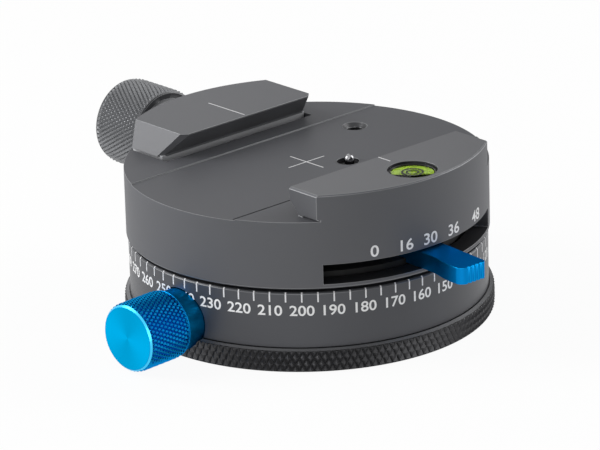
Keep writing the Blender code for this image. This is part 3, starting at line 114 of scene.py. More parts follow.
softbox("left_softbox", bearing=138.0, height=0.5, distance=0.55, size=(0.3, 0.5), power=3.0)
softbox("right_softbox", bearing=338.0, height=0.45, distance=0.6, size=(0.3, 0.5), power=2.2)
softbox("front_softbox", bearing=220.0, height=0.1, distance=0.55, size=(0.4, 0.2), power=0.7)


def matt(name, shade, roughness):
    """A grey without any gloss, for what stands round the object."""
    material = bpy.data.materials.new(name)
    material.use_nodes = True
    shader = material.node_tree.nodes["Principled BSDF"].inputs
    shader["Base Color"].default_value = (shade, shade, shade, 1)
    shader["Roughness"].default_value = roughness
    shader["Specular IOR Level"].default_value = 0.0
    return material


VELVET = matt("black_velvet", shade=0.01, roughness=0.5)


def black_card(name, bearing, distance, width, low, high):
    """A dark card that only the object sees, which stands at a bearing about the pan axis, in degrees."""
    face = bpy.data.meshes.new(name)
    side = width / 2
    face.from_pydata(
        [(0, -side, low), (0, side, low), (0, side, high), (0, -side, high)], [], [(0, 1, 2, 3)])
    face.materials.append(VELVET)
    card = placed(name, face)
    toward = math.radians(bearing)
    card.location = (distance * math.cos(toward), distance * math.sin(toward), 0)
    card.rotation_euler = (0, 0, toward)
    card.visible_camera = False


black_card("right_card", bearing=277.0, distance=0.38, width=0.28, low=-0.02, high=0.4)
black_card("back_card", bearing=33.0, distance=0.6, width=0.26, low=0.02, high=0.5)


def node(tree, kind, inputs=(), **settings):
    """A new node. Its inputs, by order or by name, take plain values or the outputs of other nodes."""
    made = tree.nodes.new(kind)
    for name, setting in settings.items():
        setattr(made, name, setting)
    for key, value in inputs.items() if isinstance(inputs, dict) else enumerate(inputs):
        if isinstance(value, bpy.types.NodeSocket):
            tree.links.new(value, made.inputs[key])
        else:
            made.inputs[key].default_value = value
    return made


def result_of(tree, kind, *terms):
    """The output of one arithmetic step on numbers or on the outputs of other nodes."""
    return node(tree, "ShaderNodeMath", terms, operation=kind).outputs[0]


def background_rays(tree):
    """One where the camera, a gloss or the lens looks straight at the background, else nought."""
    rays = node(tree, "ShaderNodeLightPath").outputs
    seen = result_of(tree, "MAXIMUM", rays["Is Camera Ray"], rays["Is Glossy Ray"])
    return result_of(tree, "MAXIMUM", seen, rays["Is Transmission Ray"])


ROOM_LIGHT = 0.4
PAPER_GLOW = 0.94
FLOOR_SIZE = 6.0

room = bpy.data.worlds.new("room")
bpy.context.scene.world = room
room.use_nodes = True
walls = room.node_tree
wall_light = node(walls, "ShaderNodeMapRange", {
    "Value": background_rays(walls), "To Min": ROOM_LIGHT, "To Max": 1.0})
walls.links.new(wall_light.outputs["Result"], walls.nodes["Background"].inputs["Strength"])
walls.nodes["Background"].inputs["Color"].default_value = (1, 1, 1, 1)

sheet = bpy.data.meshes.new("floor")
half = FLOOR_SIZE / 2
floor_level = cad_box[0][2]
sheet.from_pydata(
    [(-half, -half, floor_level), (half, -half, floor_level), (half, half, floor_level),
     (-half, half, floor_level)], [], [(0, 1, 2, 3)])
PAPER = matt("paper", shade=0.93, roughness=0.9)
backlit = PAPER.node_tree
lit_and_glowing = node(backlit, "ShaderNodeMixShader", (
    result_of(backlit, "MULTIPLY", background_rays(backlit), PAPER_GLOW),
    backlit.nodes["Principled BSDF"].outputs[0], node(backlit, "ShaderNodeEmission").outputs[0]))
backlit.links.new(lit_and_glowing.outputs[0], backlit.nodes["Material Output"].inputs["Surface"])
sheet.materials.append(PAPER)
placed("floor", sheet)


# Knurled base
# A turned aluminium flange, anodised black, that stands on the tripod. Its rim has a diamond knurl
# between two thin lips, with a ledge above that is painted lighter grey as a highlight, and screws go up
# through it into ring, post and guide. Its rounded edges and knurl teeth are a lighter black, a painted
# highlight.
WELD = 0.0005 * MM
SMOOTH_BELOW = math.radians(28.0)


def mesh_of(work, name):
    """Turns finished mesh work into a mesh."""
    mesh = bpy.data.meshes.new(name)
    work.to_mesh(mesh)
    work.free()
    return mesh


def turned(name, section, sides):
    """A closed solid of revolution about Z, from (radius, height) points in millimetres."""
    work = bmesh.new()
    ring = [work.verts.new((radius * MM, 0, height * MM)) for radius, height in section]
    pairs = list(zip(ring, ring[1:]))
    if section[0][0] > 0:
        pairs.append((ring[-1], ring[0]))
    edges = [work.edges.new(pair) for pair in pairs]
    bmesh.ops.spin(
        work, geom=ring + edges, axis=(0, 0, 1), cent=(0, 0, 0), angle=2 * math.pi, steps=sides,
        use_merge=True)
    bmesh.ops.remove_doubles(work, verts=work.verts, dist=WELD)
    bmesh.ops.recalc_face_normals(work, faces=work.faces)
    return mesh_of(work, name)


def rod(start, end, radius, sides=48):
    """A round bar between two points, in millimetres."""
    start, end = Vector(start) * MM, Vector(end) * MM
    axis = end - start
    work = bmesh.new()
    bmesh.ops.create_cone(
        work, cap_ends=True, segments=sides, radius1=radius * MM, radius2=radius * MM, depth=axis.length,
        matrix=Matrix.Translation((start + end) / 2) @ axis.to_track_quat("Z", "Y").to_matrix().to_4x4())
    return mesh_of(work, "rod")


def moved(mesh, x, y, z=0.0):
    """The same mesh, moved by millimetres."""
    mesh.transform(Matrix.Translation((x * MM, y * MM, z * MM)))
    return mesh


def turned_piece(name, section, sides, x=0.0, y=0.0):
    """An object in the scene that holds a turned mesh, at its place in millimetres."""
    return placed(name, moved(turned(name, section, sides), x, y))


def carve(piece, shape, operation="DIFFERENCE", finish=None):
    """Cuts a shape out of a piece, joins it on, or keeps what both hold. The cut can have a finish."""
    tool = placed("tool", shape)
    cut = piece.modifiers.new("carve", "BOOLEAN")
    if finish:
        shape.materials.append(finish)
        cut.material_mode = "TRANSFER"
    cut.object = tool
    cut.operation = operation
    cut.solver = "EXACT"


def plain_mesh(piece):
    """The mesh that a piece has with its modifiers."""
    return bpy.data.meshes.new_from_object(piece.evaluated_get(bpy.context.evaluated_depsgraph_get()))


def dress(piece, *finishes, edge=0.0):
    """Rounds a piece's sharp edges, makes its modifiers its mesh, and gives it its finishes. Where a
    piece has two finishes, the rounded edges take the second, a lighter copy painted as their highlight.
    """
    for finish in finishes:
        piece.data.materials.append(finish)
    if edge:
        rounding = piece.modifiers.new("rounding", "BEVEL")
        rounding.width = edge * MM
        rounding.segments = 2
        rounding.limit_method = "ANGLE"
        rounding.angle_limit = SMOOTH_BELOW
        rounding.use_clamp_overlap = False
        rounding.material = len(finishes) - 1
        piece.data.shade_smooth()
        levelling = piece.modifiers.new("levelling", "WEIGHTED_NORMAL")
        levelling.keep_sharp = True
    mesh = plain_mesh(piece)
    for modifier in list(piece.modifiers):
        if modifier.type == "BOOLEAN":
            bpy.data.objects.remove(modifier.object)
    piece.modifiers.clear()
    piece.data = mesh
    if not edge:
        mesh.shade_smooth()
        mesh.set_sharp_from_angle(angle=SMOOTH_BELOW)


def blasted_surface():
    """A node group for blasted and anodised metal: a fine grain, and faint clouds in the colour."""
    group = bpy.data.node_groups.new("blasted_surface", "ShaderNodeTree")
    for name, way, kind in (
            ("Colour", "INPUT", "Color"), ("Roughness", "INPUT", "Float"), ("Clouds", "INPUT", "Float"),
            ("Grain size", "INPUT", "Float"), ("Grain depth", "INPUT", "Float"),
            ("Colour", "OUTPUT", "Color"), ("Roughness", "OUTPUT", "Float"),
            ("Normal", "OUTPUT", "Vector")):
        group.interface.new_socket(name, in_out=way, socket_type="NodeSocket" + kind)
    entry = node(group, "NodeGroupInput").outputs
    place = node(group, "ShaderNodeTexCoord").outputs["Object"]
    clouds = node(group, "ShaderNodeTexNoise", {"Vector": place, "Scale": 120.0, "Detail": 4.0})
    swing = node(group, "ShaderNodeMapRange", {"Value": clouds.outputs["Fac"], "To Min": -1.0})
    shift = result_of(group, "MULTIPLY", swing.outputs["Result"], entry["Clouds"])
    gain = result_of(group, "ADD", shift, 1.0)
    tint = node(group, "ShaderNodeVectorMath", {0: entry["Colour"], "Scale": gain}, operation="SCALE")
    fineness = result_of(group, "DIVIDE", 1.0 / MM, entry["Grain size"])
    grain = node(group, "ShaderNodeTexNoise", {"Vector": place, "Scale": fineness, "Detail": 2.0})
    depth = result_of(group, "MULTIPLY", entry["Grain depth"], MM)
    height = result_of(group, "MULTIPLY", grain.outputs["Fac"], depth)
    bump = node(group, "ShaderNodeBump", {"Height": height, "Distance": 1.0})
    node(group, "NodeGroupOutput", {
        "Colour": tint.outputs[0], "Roughness": result_of(group, "MULTIPLY", entry["Roughness"], gain),
        "Normal": bump.outputs["Normal"]})
    return group


BLASTED = blasted_surface()


def grained(name, colour, metal, rough, clouds=0.06, grain=0.12, depth=0.006, reflection=(1, 1, 1)):
    """A finish with faint clouds and a grain, whose size and depth are in millimetres."""
    material = bpy.data.materials.new(name)
    material.use_nodes = True
    tree = material.node_tree
    surface = node(tree, "ShaderNodeGroup", {
        "Colour": (*colour, 1), "Roughness": rough, "Clouds": clouds, "Grain size": grain,
        "Grain depth": depth}, node_tree=BLASTED)
    shader = tree.nodes["Principled BSDF"].inputs
    shader["Metallic"].default_value = metal
    shader["Specular Tint"].default_value = (*reflection, 1)
    for title, socket in (("Colour", "Base Color"), ("Roughness", "Roughness"), ("Normal", "Normal")):
        tree.links.new(surface.outputs[title], shader[socket])
    return material


def growth_tree(name, **inputs):
    """A Geometry Nodes tree with its inputs, whose names are given by their kind."""
    tree = bpy.data.node_groups.new(name, "GeometryNodeTree")
    tree.interface.new_socket("Geometry", in_out="OUTPUT", socket_type="NodeSocketGeometry")
    for kind, titles in inputs.items():
        for title in titles:
            tree.interface.new_socket(title, in_out="INPUT", socket_type="NodeSocket" + kind)
    return tree, node(tree, "NodeGroupInput").outputs


def copies(tree, count, places, shape, **fit):
    """Copies of a shape on points, as real faces. The fit gives their rotation and scale."""
    points = node(tree, "GeometryNodePoints", {"Count": count, "Position": places}).outputs[0]
    setting = node(tree, "GeometryNodeInstanceOnPoints", {"Points": points, "Instance": shape, **fit})
    return node(tree, "GeometryNodeRealizeInstances", [setting.outputs[0]]).outputs[0]


def hand_out(tree, faces, finish):
    """Gives the faces their finish and ends the tree with them."""
    finished = node(tree, "GeometryNodeSetMaterial", {"Geometry": faces, "Material": finish})
    node(tree, "NodeGroupOutput", [finished.outputs[0]])


def diamond_knurl():
    """A tree that sets truncated pyramids round a root cylinder, in rows a half tooth apart."""
    tree, entry = growth_tree(
        "diamond_knurl", Float=("Root radius", "Depth", "Start", "Row height", "Chamfer"),
        Int=("Teeth", "Rows"), Material=("Finish",))
    root, depth, low = entry["Root radius"], entry["Depth"], entry["Start"]
    row_height, teeth, rows = entry["Row height"], entry["Teeth"], entry["Rows"]

    def step(kind, *terms):
        """One arithmetic step in this tree."""
        return result_of(tree, kind, *terms)

    crest_share = 0.22
    tooth = node(tree, "GeometryNodeMeshCone", {"Vertices": 4, "Radius Top": crest_share, "Depth": 1.0})
    index = node(tree, "GeometryNodeInputIndex").outputs[0]
    row = step("FLOOR", step("DIVIDE", index, teeth))
    column = step("SUBTRACT", index, step("MULTIPLY", row, teeth))
    offset = step("MULTIPLY", step("MODULO", row, 2.0), 0.5)
    angle = step("MULTIPLY", step("DIVIDE", step("ADD", column, offset), teeth), 2 * math.pi)
    outward = node(tree, "ShaderNodeCombineXYZ", [step("COSINE", angle), step("SINE", angle)]).outputs[0]
    from_axis = node(tree, "ShaderNodeVectorMath", {0: outward, "Scale": root}, operation="SCALE")
    rise = node(tree, "ShaderNodeCombineXYZ", {"Z": step("ADD", low, step("MULTIPLY", row, row_height))})
    place = node(tree, "ShaderNodeVectorMath", [from_axis.outputs[0], rise.outputs[0]])
    facing = node(
        tree, "FunctionNodeAxesToRotation", {"Primary Axis": outward, "Secondary Axis": (0, 0, 1)},
        primary_axis="Z", secondary_axis="Y")
    pitch = step("DIVIDE", step("MULTIPLY", root, 2 * math.pi), teeth)
    size = node(tree, "ShaderNodeCombineXYZ", [step("MULTIPLY", pitch, 0.5), row_height, depth])
    faces = copies(
        tree, step("MULTIPLY", teeth, rows), place.outputs[0], tooth.outputs["Mesh"],
        Rotation=facing.outputs[0], Scale=size.outputs[0])
    point = node(tree, "GeometryNodeInputPosition").outputs[0]
    x, y, z = node(tree, "ShaderNodeSeparateXYZ", [point]).outputs
    high = step("ADD", low, step("MULTIPLY", step("SUBTRACT", rows, 1.0), row_height))
    height = step("MINIMUM", step("MAXIMUM", z, low), high)
    to_end = step("MINIMUM", step("SUBTRACT", height, low), step("SUBTRACT", high, height))
    lost = step("MAXIMUM", step("SUBTRACT", entry["Chamfer"], to_end), 0.0)
    crest = step("ADD", root, depth)
    radius = step("SQRT", step("ADD", step("POWER", x, 2.0), step("POWER", y, 2.0)))
    inward = step("MINIMUM", step("DIVIDE", step("SUBTRACT", crest, lost), radius), 1.0)
    new_place = node(tree, "ShaderNodeCombineXYZ", [
        step("MULTIPLY", x, inward), step("MULTIPLY", y, inward), height])
    trimmed = node(tree, "GeometryNodeSetPosition", {"Geometry": faces, "Position": new_place.outputs[0]})
    hand_out(tree, trimmed.outputs[0], entry["Finish"])
    return tree


KNURL = diamond_knurl()


def grown(name, tree, **values):
    """The plain mesh that a Geometry Nodes tree makes with these inputs."""
    piece = placed(name, bpy.data.meshes.new(name))
    growth = piece.modifiers.new("growth", "NODES")
    growth.node_group = tree
    for socket in tree.interface.items_tree:
        title = socket.name.replace(" ", "_").lower()
        if socket.in_out == "INPUT" and title in values:
            growth[socket.identifier] = values[title]
    piece.update_tag()
    mesh = plain_mesh(piece)
    bpy.data.objects.remove(piece)
    return mesh


def joined(first, second):
    """Adds a second mesh's faces to a first mesh. Grown faces show the first one's second finish."""
    work = bmesh.new()
    work.from_mesh(first)
    work.from_mesh(second)
    work.to_mesh(first)
    work.free()


# The base's black anodising, also painted in the top's holes and window as the shade inside them.
BLACK = grained(
    "black_anodised", (0.034, 0.034, 0.037), metal=0.5, rough=0.42, clouds=0.08, grain=0.09, depth=0.004)
# A lighter black, painted as the highlight on the base's rounded edges and on its knurl's teeth.
BLACK_HIGHLIGHT = grained(
    "black_edge", (0.043, 0.043, 0.046), metal=0.5, rough=0.42, clouds=0.08, grain=0.09, depth=0.004)
# A lighter grey, painted as the highlight where the base's ledge catches the light.
LEDGE_HIGHLIGHT = grained(
    "ledge_grey", (0.13, 0.132, 0.138), metal=0.3, rough=0.4, clouds=0.05, grain=0.1, depth=0.004)
BASE_FACE = -25.1
LOCK_SIDE = 182.6
LOCK_BEARING = math.radians(LOCK_SIDE)
LOCK_LEVEL = -18.95


def lock_bore(start, radius, sides):
    """A bar along the lock screw, from a distance off the pan axis outwards, that cuts its bores."""
    x, y, end = math.cos(LOCK_BEARING), math.sin(LOCK_BEARING), 42.0
    return rod((start * x, start * y, LOCK_LEVEL), (end * x, end * y, LOCK_LEVEL), radius, sides)


base = turned_piece("knurled_base", [
    (30.20, -21.25), (30.5, -21.45), (30.5, -21.5), (30.24, -21.6), (30.24, -24.86), (30.45, -24.92),
    (30.45, -24.98), (30.3, BASE_FACE), (5.7, BASE_FACE), (5.7, -22.6), (24.0, -22.6),
    (24.0, -21.25)], 256)
carve(base, lock_bore(start=28.6, radius=5.25, sides=96))
# The radius of each circle of screws, its first bearing, the step to the next screw, and their number.
SCREW_PLACES = [
    (27.0, 90.0, 120.0, 3), (7.2, 90.0, 120.0, 3), (18.866, LOCK_SIDE - 11.31, 22.62, 2)]
for circle, first, step, count in SCREW_PLACES:
    for i in range(count):
        bearing = math.radians(first + step * i)
        x, y = circle * math.cos(bearing), circle * math.sin(bearing)
        seat = turned("screw_seat", [(0, 1.2), (0.9, 1.2), (0.9, 0.7), (1.36, -0.1), (0, -0.1)], 32)
        carve(base, moved(seat, x, y, BASE_FACE))
# The ledge's cut faces take the lighter grey, a painted highlight.
carve(base, turned("ledge_cut", [(29.75, -21.19), (31.5, -21.19), (31.5, -21.9)], 256), finish=LEDGE_HIGHLIGHT)
dress(base, BLACK, BLACK_HIGHLIGHT, edge=0.05)
# The knurl's teeth take the lighter black, a painted highlight.
joined(base.data, grown(
    "base_teeth", KNURL, root_radius=30.24 * MM, depth=0.42 * MM, start=-24.86 * MM,
    row_height=1.0867 * MM, chamfer=0.12 * MM, teeth=160, rows=4, finish=BLACK_HIGHLIGHT))
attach(base, "base")
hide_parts("base_plate")


# Base screws
# Countersunk steel screws with hexagon sockets, seen only from below. They hold the ring, the post and
# the lock's guide block.
def round_the_axis(tree, radius, level, first, step):
    """The bearing and the place of each copy, on a circle about the pan axis, at equal steps."""
    index = node(tree, "GeometryNodeInputIndex").outputs[0]
    bearing = result_of(tree, "MULTIPLY_ADD", index, step, first)
    start = node(tree, "ShaderNodeCombineXYZ", {"X": radius, "Z": level}).outputs[0]
    swing = node(
        tree, "ShaderNodeVectorRotate", {"Vector": start, "Angle": bearing}, rotation_type="Z_AXIS")
    return bearing, swing.outputs[0]


def socket_screws():
    """A tree that sets copies of one screw on a circle, at equal steps."""
    tree, entry = growth_tree(
        "socket_screws", Object=("Screw",), Float=("Circle", "First turn", "Step", "Level"),
        Int=("Count",), Material=("Finish",))
    places = round_the_axis(tree, entry["Circle"], entry["Level"], entry["First turn"], entry["Step"])[1]
    one = node(tree, "GeometryNodeObjectInfo", {"Object": entry["Screw"]}).outputs["Geometry"]
    hand_out(tree, copies(tree, entry["Count"], places, one), entry["Finish"])
    return tree


STEEL = grained(
    "turned_steel", (0.45, 0.45, 0.46), metal=1.0, rough=0.3, clouds=0.05, grain=0.06, depth=0.002)
screw = turned_piece("screw", [(0, 4.0), (0.8, 4.0), (0.8, 0.7), (1.12, 0.08), (1.05, 0), (0, 0)], 32)
hexagon = rod((0, 0, -0.5), (0, 0, 0.45), 0.55, 6)
carve(screw, hexagon)
dress(screw, STEEL)
SCREWS = socket_screws()
SCREW_NODES = (
    ["base_screw_1", "base_screw_2", "base_screw_3"], ["post_screw_1", "post_screw_2", "post_screw_3"],
    ["guide_screw_1", "guide_screw_2"])
for name, (circle, first, step, count), nodes in zip(("rim", "post", "guide"), SCREW_PLACES, SCREW_NODES):
    screws = placed(f"{name}_screws", grown(
        f"{name}_screws", SCREWS, screw=screw, circle=circle * MM, first_turn=math.radians(first),
        step=math.radians(step), level=(BASE_FACE + 0.1) * MM, count=count, finish=STEEL))
    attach(screws, "base")
    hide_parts(*nodes)
bpy.data.objects.remove(screw)


# Tripod bush
# A steel bush in the middle of the base, with the 3/8 inch tripod thread, cut as one rib with its flanks
# at 55 degrees to each other, 16 turns to the inch.
THREAD_PITCH = 1.5875
bush = turned_piece("threaded_bush", [
    (5.55, -16.05), (5.55, -24.95), (4.9, -24.95), (4.72, -24.7), (4.72, -16.05)], 64)
dress(bush, STEEL, edge=0.05)
rib = placed("thread_rib", bpy.data.meshes.new("thread_rib"))
rib.data.from_pydata(
    [(4.76 * MM, 0, -24.6 * MM), (4.76 * MM, 0, -23.35 * MM), (4.05 * MM, 0, -23.975 * MM)],
    [(0, 1), (1, 2), (2, 0)], [])
winding = rib.modifiers.new("winding", "SCREW")
winding.screw_offset = THREAD_PITCH * MM
winding.iterations = 4
winding.steps = 48
winding.render_steps = 48
dress(rib, STEEL)
whole_rib = bmesh.new()
whole_rib.from_mesh(rib.data)
bmesh.ops.holes_fill(whole_rib, edges=whole_rib.edges)
bmesh.ops.recalc_face_normals(whole_rib, faces=whole_rib.faces)
whole_rib.to_mesh(rib.data)
whole_rib.free()
joined(bush.data, rib.data)
bpy.data.objects.remove(rib)
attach(bush, "base")
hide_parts("tripod_bush")


# Degree ring
# A turned and dark anodised ring, screwed to the base, with a recess for the lock knob's collar. White
# marks stand every 5 degrees on its edge and its chamfer, and a number under each second one.
DARK = grained(
    "dark_anodised", (0.066, 0.068, 0.075), metal=0.45, rough=0.42, clouds=0.05, grain=0.1, depth=0.004)
# A lighter dark grey, painted as the highlight on the ring's rounded edges.
DARK_HIGHLIGHT = grained(
    "dark_edge", (0.13, 0.133, 0.14), metal=0.6, rough=0.36, clouds=0.05, grain=0.1, depth=0.003)
RING_RADIUS = 29.7
ring = turned_piece("degree_ring", [
    (29.45, -11.8), (RING_RADIUS, -12.05), (RING_RADIUS, -21.15), (24.0, -21.15), (24.0, -13.1),
    (27.0, -13.1), (27.0, -11.8)], 256)
carve(ring, lock_bore(start=28.6, radius=5.25, sides=96))
carve(ring, lock_bore(start=23.0, radius=2.7, sides=48))
dress(ring, DARK, DARK_HIGHLIGHT, edge=0.06)
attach(ring, "base")
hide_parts("scale_ring")

WHITE = grained(
    "white_print", (0.72, 0.72, 0.73), metal=0.0, rough=0.55, clouds=0.05, grain=0.15, depth=0.003)


def ring_marks():
    """A tree that sets upright marks round a cylinder, at equal steps."""
    tree, entry = growth_tree(
        "ring_marks", Float=("Radius", "First turn", "Middle", "Width", "Length", "Film", "Lean"),
        Int=("Count",), Material=("Finish",))
    step = result_of(tree, "DIVIDE", 2 * math.pi, entry["Count"])
    bearing, places = round_the_axis(tree, entry["Radius"], entry["Middle"], entry["First turn"], step)
    facing = node(tree, "ShaderNodeCombineXYZ", {"Y": entry["Lean"], "Z": bearing})
    size = node(tree, "ShaderNodeCombineXYZ", [entry["Film"], entry["Width"], entry["Length"]])
    mark = node(tree, "GeometryNodeMeshCube", {"Size": size.outputs[0]})
    faces = copies(tree, entry["Count"], places, mark.outputs["Mesh"], Rotation=facing.outputs[0])
    hand_out(tree, faces, entry["Finish"])
    return tree


def figures(words, height, width, bold):
    """Printed figures as a thin closed film in the XY plane, centred, with a height in millimetres."""
    strip = 0.3 * MM
    curve = bpy.data.curves.new("figures", "FONT")
    curve.body = words
    curve.size = 1.0
    curve.offset = bold
    curve.resolution_u = 4
    curve.extrude = 0.005
    holder = placed("figures", curve)
    bpy.context.view_layer.update()
    mesh = plain_mesh(holder)
    bpy.data.objects.remove(holder)
    across = [vert.co.x for vert in mesh.vertices]
    along = [vert.co.y for vert in mesh.vertices]
    middle = Vector(((max(across) + min(across)) / 2, (max(along) + min(along)) / 2, 0))
    scale = height * MM / (max(along) - min(along))
    mesh.transform(Matrix.Diagonal((scale * width, scale, 2 * MM, 1)) @ Matrix.Translation(-middle))
    work = bmesh.new()
    work.from_mesh(mesh)
    bmesh.ops.remove_doubles(work, verts=work.verts, dist=WELD)
    reach = max(vert.co.x for vert in work.verts)
    x = -reach + strip
    while x < reach:
        everything = list(work.verts) + list(work.edges) + list(work.faces)
        bmesh.ops.bisect_plane(work, geom=everything, plane_co=(x, 0, 0), plane_no=(1, 0, 0))
        x += strip
    bmesh.ops.recalc_face_normals(work, faces=work.faces)
    work.to_mesh(mesh)
    work.free()
    mesh.materials.clear()
    return mesh


def wrapped(mesh, radius, bearing, level):
    """Lays a flat film round a cylinder about the pan axis."""
    for vert in mesh.vertices:
        angle = math.radians(bearing) + vert.co.x / (radius * MM)
        reach = radius * MM + vert.co.z
        vert.co = (reach * math.cos(angle), reach * math.sin(angle), level * MM + vert.co.y)
    return mesh


SCALE_ZERO = 65.04
MARKS = ring_marks()
mark_row = {
    "first_turn": math.radians(SCALE_ZERO), "width": 0.24 * MM, "film": 0.03 * MM, "count": 72,
    "finish": WHITE}
scale = placed("degree_scale", grown(
    "degree_scale", MARKS, radius=RING_RADIUS * MM, middle=-12.75 * MM, length=1.36 * MM, lean=0.0,
    **mark_row))
joined(scale.data, grown(
    "chamfer_marks", MARKS, radius=(RING_RADIUS - 0.125) * MM, middle=-11.925 * MM, length=0.34 * MM,
    lean=-math.pi / 4, **mark_row))
for degree in range(0, 360, 10):
    number = figures(str(degree), height=1.78, width=1.12, bold=0.014)
    joined(scale.data, wrapped(number, RING_RADIUS, bearing=SCALE_ZERO - degree, level=-14.85))
dress(scale, WHITE)
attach(scale, "base")


# Turning top
# One turned and milled aluminium block with the fixed jaw of the clamp, blasted and anodised grey. Its
# skirt has the lever's window, and a shallow recess crosses its deck between the two jaws.
GREY = grained(
    "grey_anodised", (0.079, 0.081, 0.089), metal=0.15, rough=0.55, clouds=0.05, grain=0.1, depth=0.006)
# A lighter copy of the grey, painted as the light that falls on the fixed jaw's top.
JAW_TOP_LIGHT = grained(
    "faced_grey", (0.126, 0.128, 0.136), metal=0.15, rough=0.5, clouds=0.05, grain=0.1, depth=0.006)
# A lighter grey, painted as the highlight on rounded edges and on the jaw knob's teeth.
GREY_HIGHLIGHT = grained(
    "grey_edge", (0.2, 0.204, 0.212), metal=0.5, rough=0.4, clouds=0.05, grain=0.1, depth=0.004)
SHADED_GREY = grained(
    "shaded_grey", (0.04, 0.041, 0.045), metal=0.3, rough=0.4, clouds=0.05, grain=0.1, depth=0.004)


def extruded(outline, low, high):
    """A flat outline drawn out along Z between two heights, in millimetres."""
    work = bmesh.new()
    floor_face = work.faces.new([work.verts.new((x * MM, y * MM, low * MM)) for x, y in outline])
    lifted = bmesh.ops.extrude_face_region(work, geom=[floor_face])["geom"]
    tops = [item for item in lifted if isinstance(item, bmesh.types.BMVert)]
    bmesh.ops.translate(work, verts=tops, vec=(0, 0, (high - low) * MM))
    bmesh.ops.recalc_face_normals(work, faces=work.faces)
    return mesh_of(work, "extrusion")


def rail(section, half_length):
    """A section across the jaws, as (y, z) points, drawn out along X."""
    mesh = extruded(section, -half_length, half_length)
    mesh.transform(Matrix(((0, 0, 1, 0), (1, 0, 0, 0), (0, 1, 0, 0), (0, 0, 0, 1))))
    return mesh


def block(low, high):
    """A box between two corners, in millimetres."""
    return extruded([(low[0], low[1]), (high[0], low[1]), (high[0], high[1]), (low[0], high[1])],
                    low[2], high[2])


BODY_RADIUS = 30.0
OUTSIDE = 32  # where the cutting shapes end, clear of the body
DECK_STRIP = 0.2
JAW_TOP = 4.6
FIXED_JAW_ENDS = ((-1, 19.2), (1, 18.2))
JAW_SCREW_LEVEL = -3.3
LEVEL_Y = -25.1
STOP_HOLE = (4.65, -5.05)
THREADED_HOLE = (17.6, 7.0)
top = turned_piece("turning_block", [
    (0, 4.65), (29.75, 4.65), (BODY_RADIUS, 4.4), (BODY_RADIUS, -10.95), (29.75, -11.2), (26.8, -11.2),
    (26.8, -7.0), (14.0, -7.0), (14.0, -11.0), (11.3, -11.0), (11.3, -7.9), (0, -7.9)], 256)
# The fixed jaw's undercut flank and its faced top, whose lighter grey is painted light, the deck's
# recess, and the seat of the movable jaw.
carve(top, rail([
    (32, 6), (-16.8, 6), (-16.8, 2.5), (-18.8, 0.5), (-18.8, DECK_STRIP), (32, DECK_STRIP)], OUTSIDE))
carve(top, block((-OUTSIDE, -OUTSIDE, JAW_TOP), (OUTSIDE, 0, 6)), finish=JAW_TOP_LIGHT)
carve(top, block((-OUTSIDE, -12.3, 0), (OUTSIDE, 12.3, 2)))
carve(top, block((-16.3, 16.15, -1.0), (16.3, OUTSIDE, 6)))
# The ends of the fixed jaw, each with a low foot and a corner taken off its top.
for side, end in FIXED_JAW_ENDS:
    near, far = sorted((side * end, side * OUTSIDE))
    carve(top, block((near, -OUTSIDE, DECK_STRIP), (far, 0, 6)))
    near, far = sorted((side * (end - 0.5), side * OUTSIDE))
    carve(top, block((near, -OUTSIDE, DECK_STRIP), (far, -19.8, 0.45)))
    corner = block((-0.22, -OUTSIDE, -0.22), (0.22, 0, 0.22))
    corner.transform(
        Matrix.Translation((side * end * MM, 0, JAW_TOP * MM)) @ Matrix.Rotation(math.pi / 4, 4, "Y"))
    carve(top, corner)
# The walls and the pocket for the movable jaw's keel, the jaw screw's bore and the knob's clearance.
carve(top, block((-11.0, 13.0, -9.3), (11.0, 27.6, -6.0)), "UNION")
carve(top, block((-9.2, 16.4, -8.1), (9.2, OUTSIDE, 6)))
carve(top, rod((0, 3.9, JAW_SCREW_LEVEL), (0, 18.2, JAW_SCREW_LEVEL), 2.55))
carve(top, rod((0, 27.2, JAW_SCREW_LEVEL), (0, OUTSIDE, JAW_SCREW_LEVEL), 6.6, 96))
# The lever's window, whose walls are painted black as the shade inside it.
WINDOW_FROM, WINDOW_TO, WINDOW_STEPS = 231.8, 307.4, 48
arc = []
for radius, order in ((31.0, range(WINDOW_STEPS + 1)), (25.0, range(WINDOW_STEPS, -1, -1))):
    for i in order:
        bearing = math.radians(WINDOW_FROM + (WINDOW_TO - WINDOW_FROM) * i / WINDOW_STEPS)
        arc.append((radius * math.cos(bearing), radius * math.sin(bearing)))
carve(top, extruded(arc, -10.4, -7.1), finish=BLACK)
# The level's seat, the stop pin's hole, the threaded and countersunk hole, and the recess's near edge.
# The holes' walls are painted black, and the countersink and a thin groove at the near edge a darker
# grey, as painted shade.
carve(top, rod((0, LEVEL_Y, 0.35), (0, LEVEL_Y, 6), 4.05, 96), finish=BLACK)
carve(top, rod((*STOP_HOLE, -5.8), (*STOP_HOLE, 1), 1.85, 64), finish=BLACK)
carve(top, rod((*THREADED_HOLE, -8), (*THREADED_HOLE, 1), 1.4, 64), finish=BLACK)
countersink = turned("countersink", [(0, 0.1), (2.1, 0.1), (2.1, 0), (1.4, -0.7), (0, -0.7)], 64)
carve(top, moved(countersink, *THREADED_HOLE), finish=SHADED_GREY)
carve(top, block((-OUTSIDE, -12.55, 0.08), (OUTSIDE, -12.3, 0.4)), finish=SHADED_GREY)
dress(top, GREY, GREY_HIGHLIGHT, edge=0.06)
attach(top, "rotor")
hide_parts("turning_top")

lever_scale = placed("lever_scale", bpy.data.meshes.new("lever_scale"))
for words, bearing in (("0", 248.0), ("16", 259.1), ("30", 268.3), ("36", 278.9), ("48", 292.6)):
    number = figures(words, height=1.95, width=1.15, bold=0.014)
    joined(lever_scale.data, wrapped(number, BODY_RADIUS, bearing, level=-5.62))
dress(lever_scale, WHITE)
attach(lever_scale, "rotor")


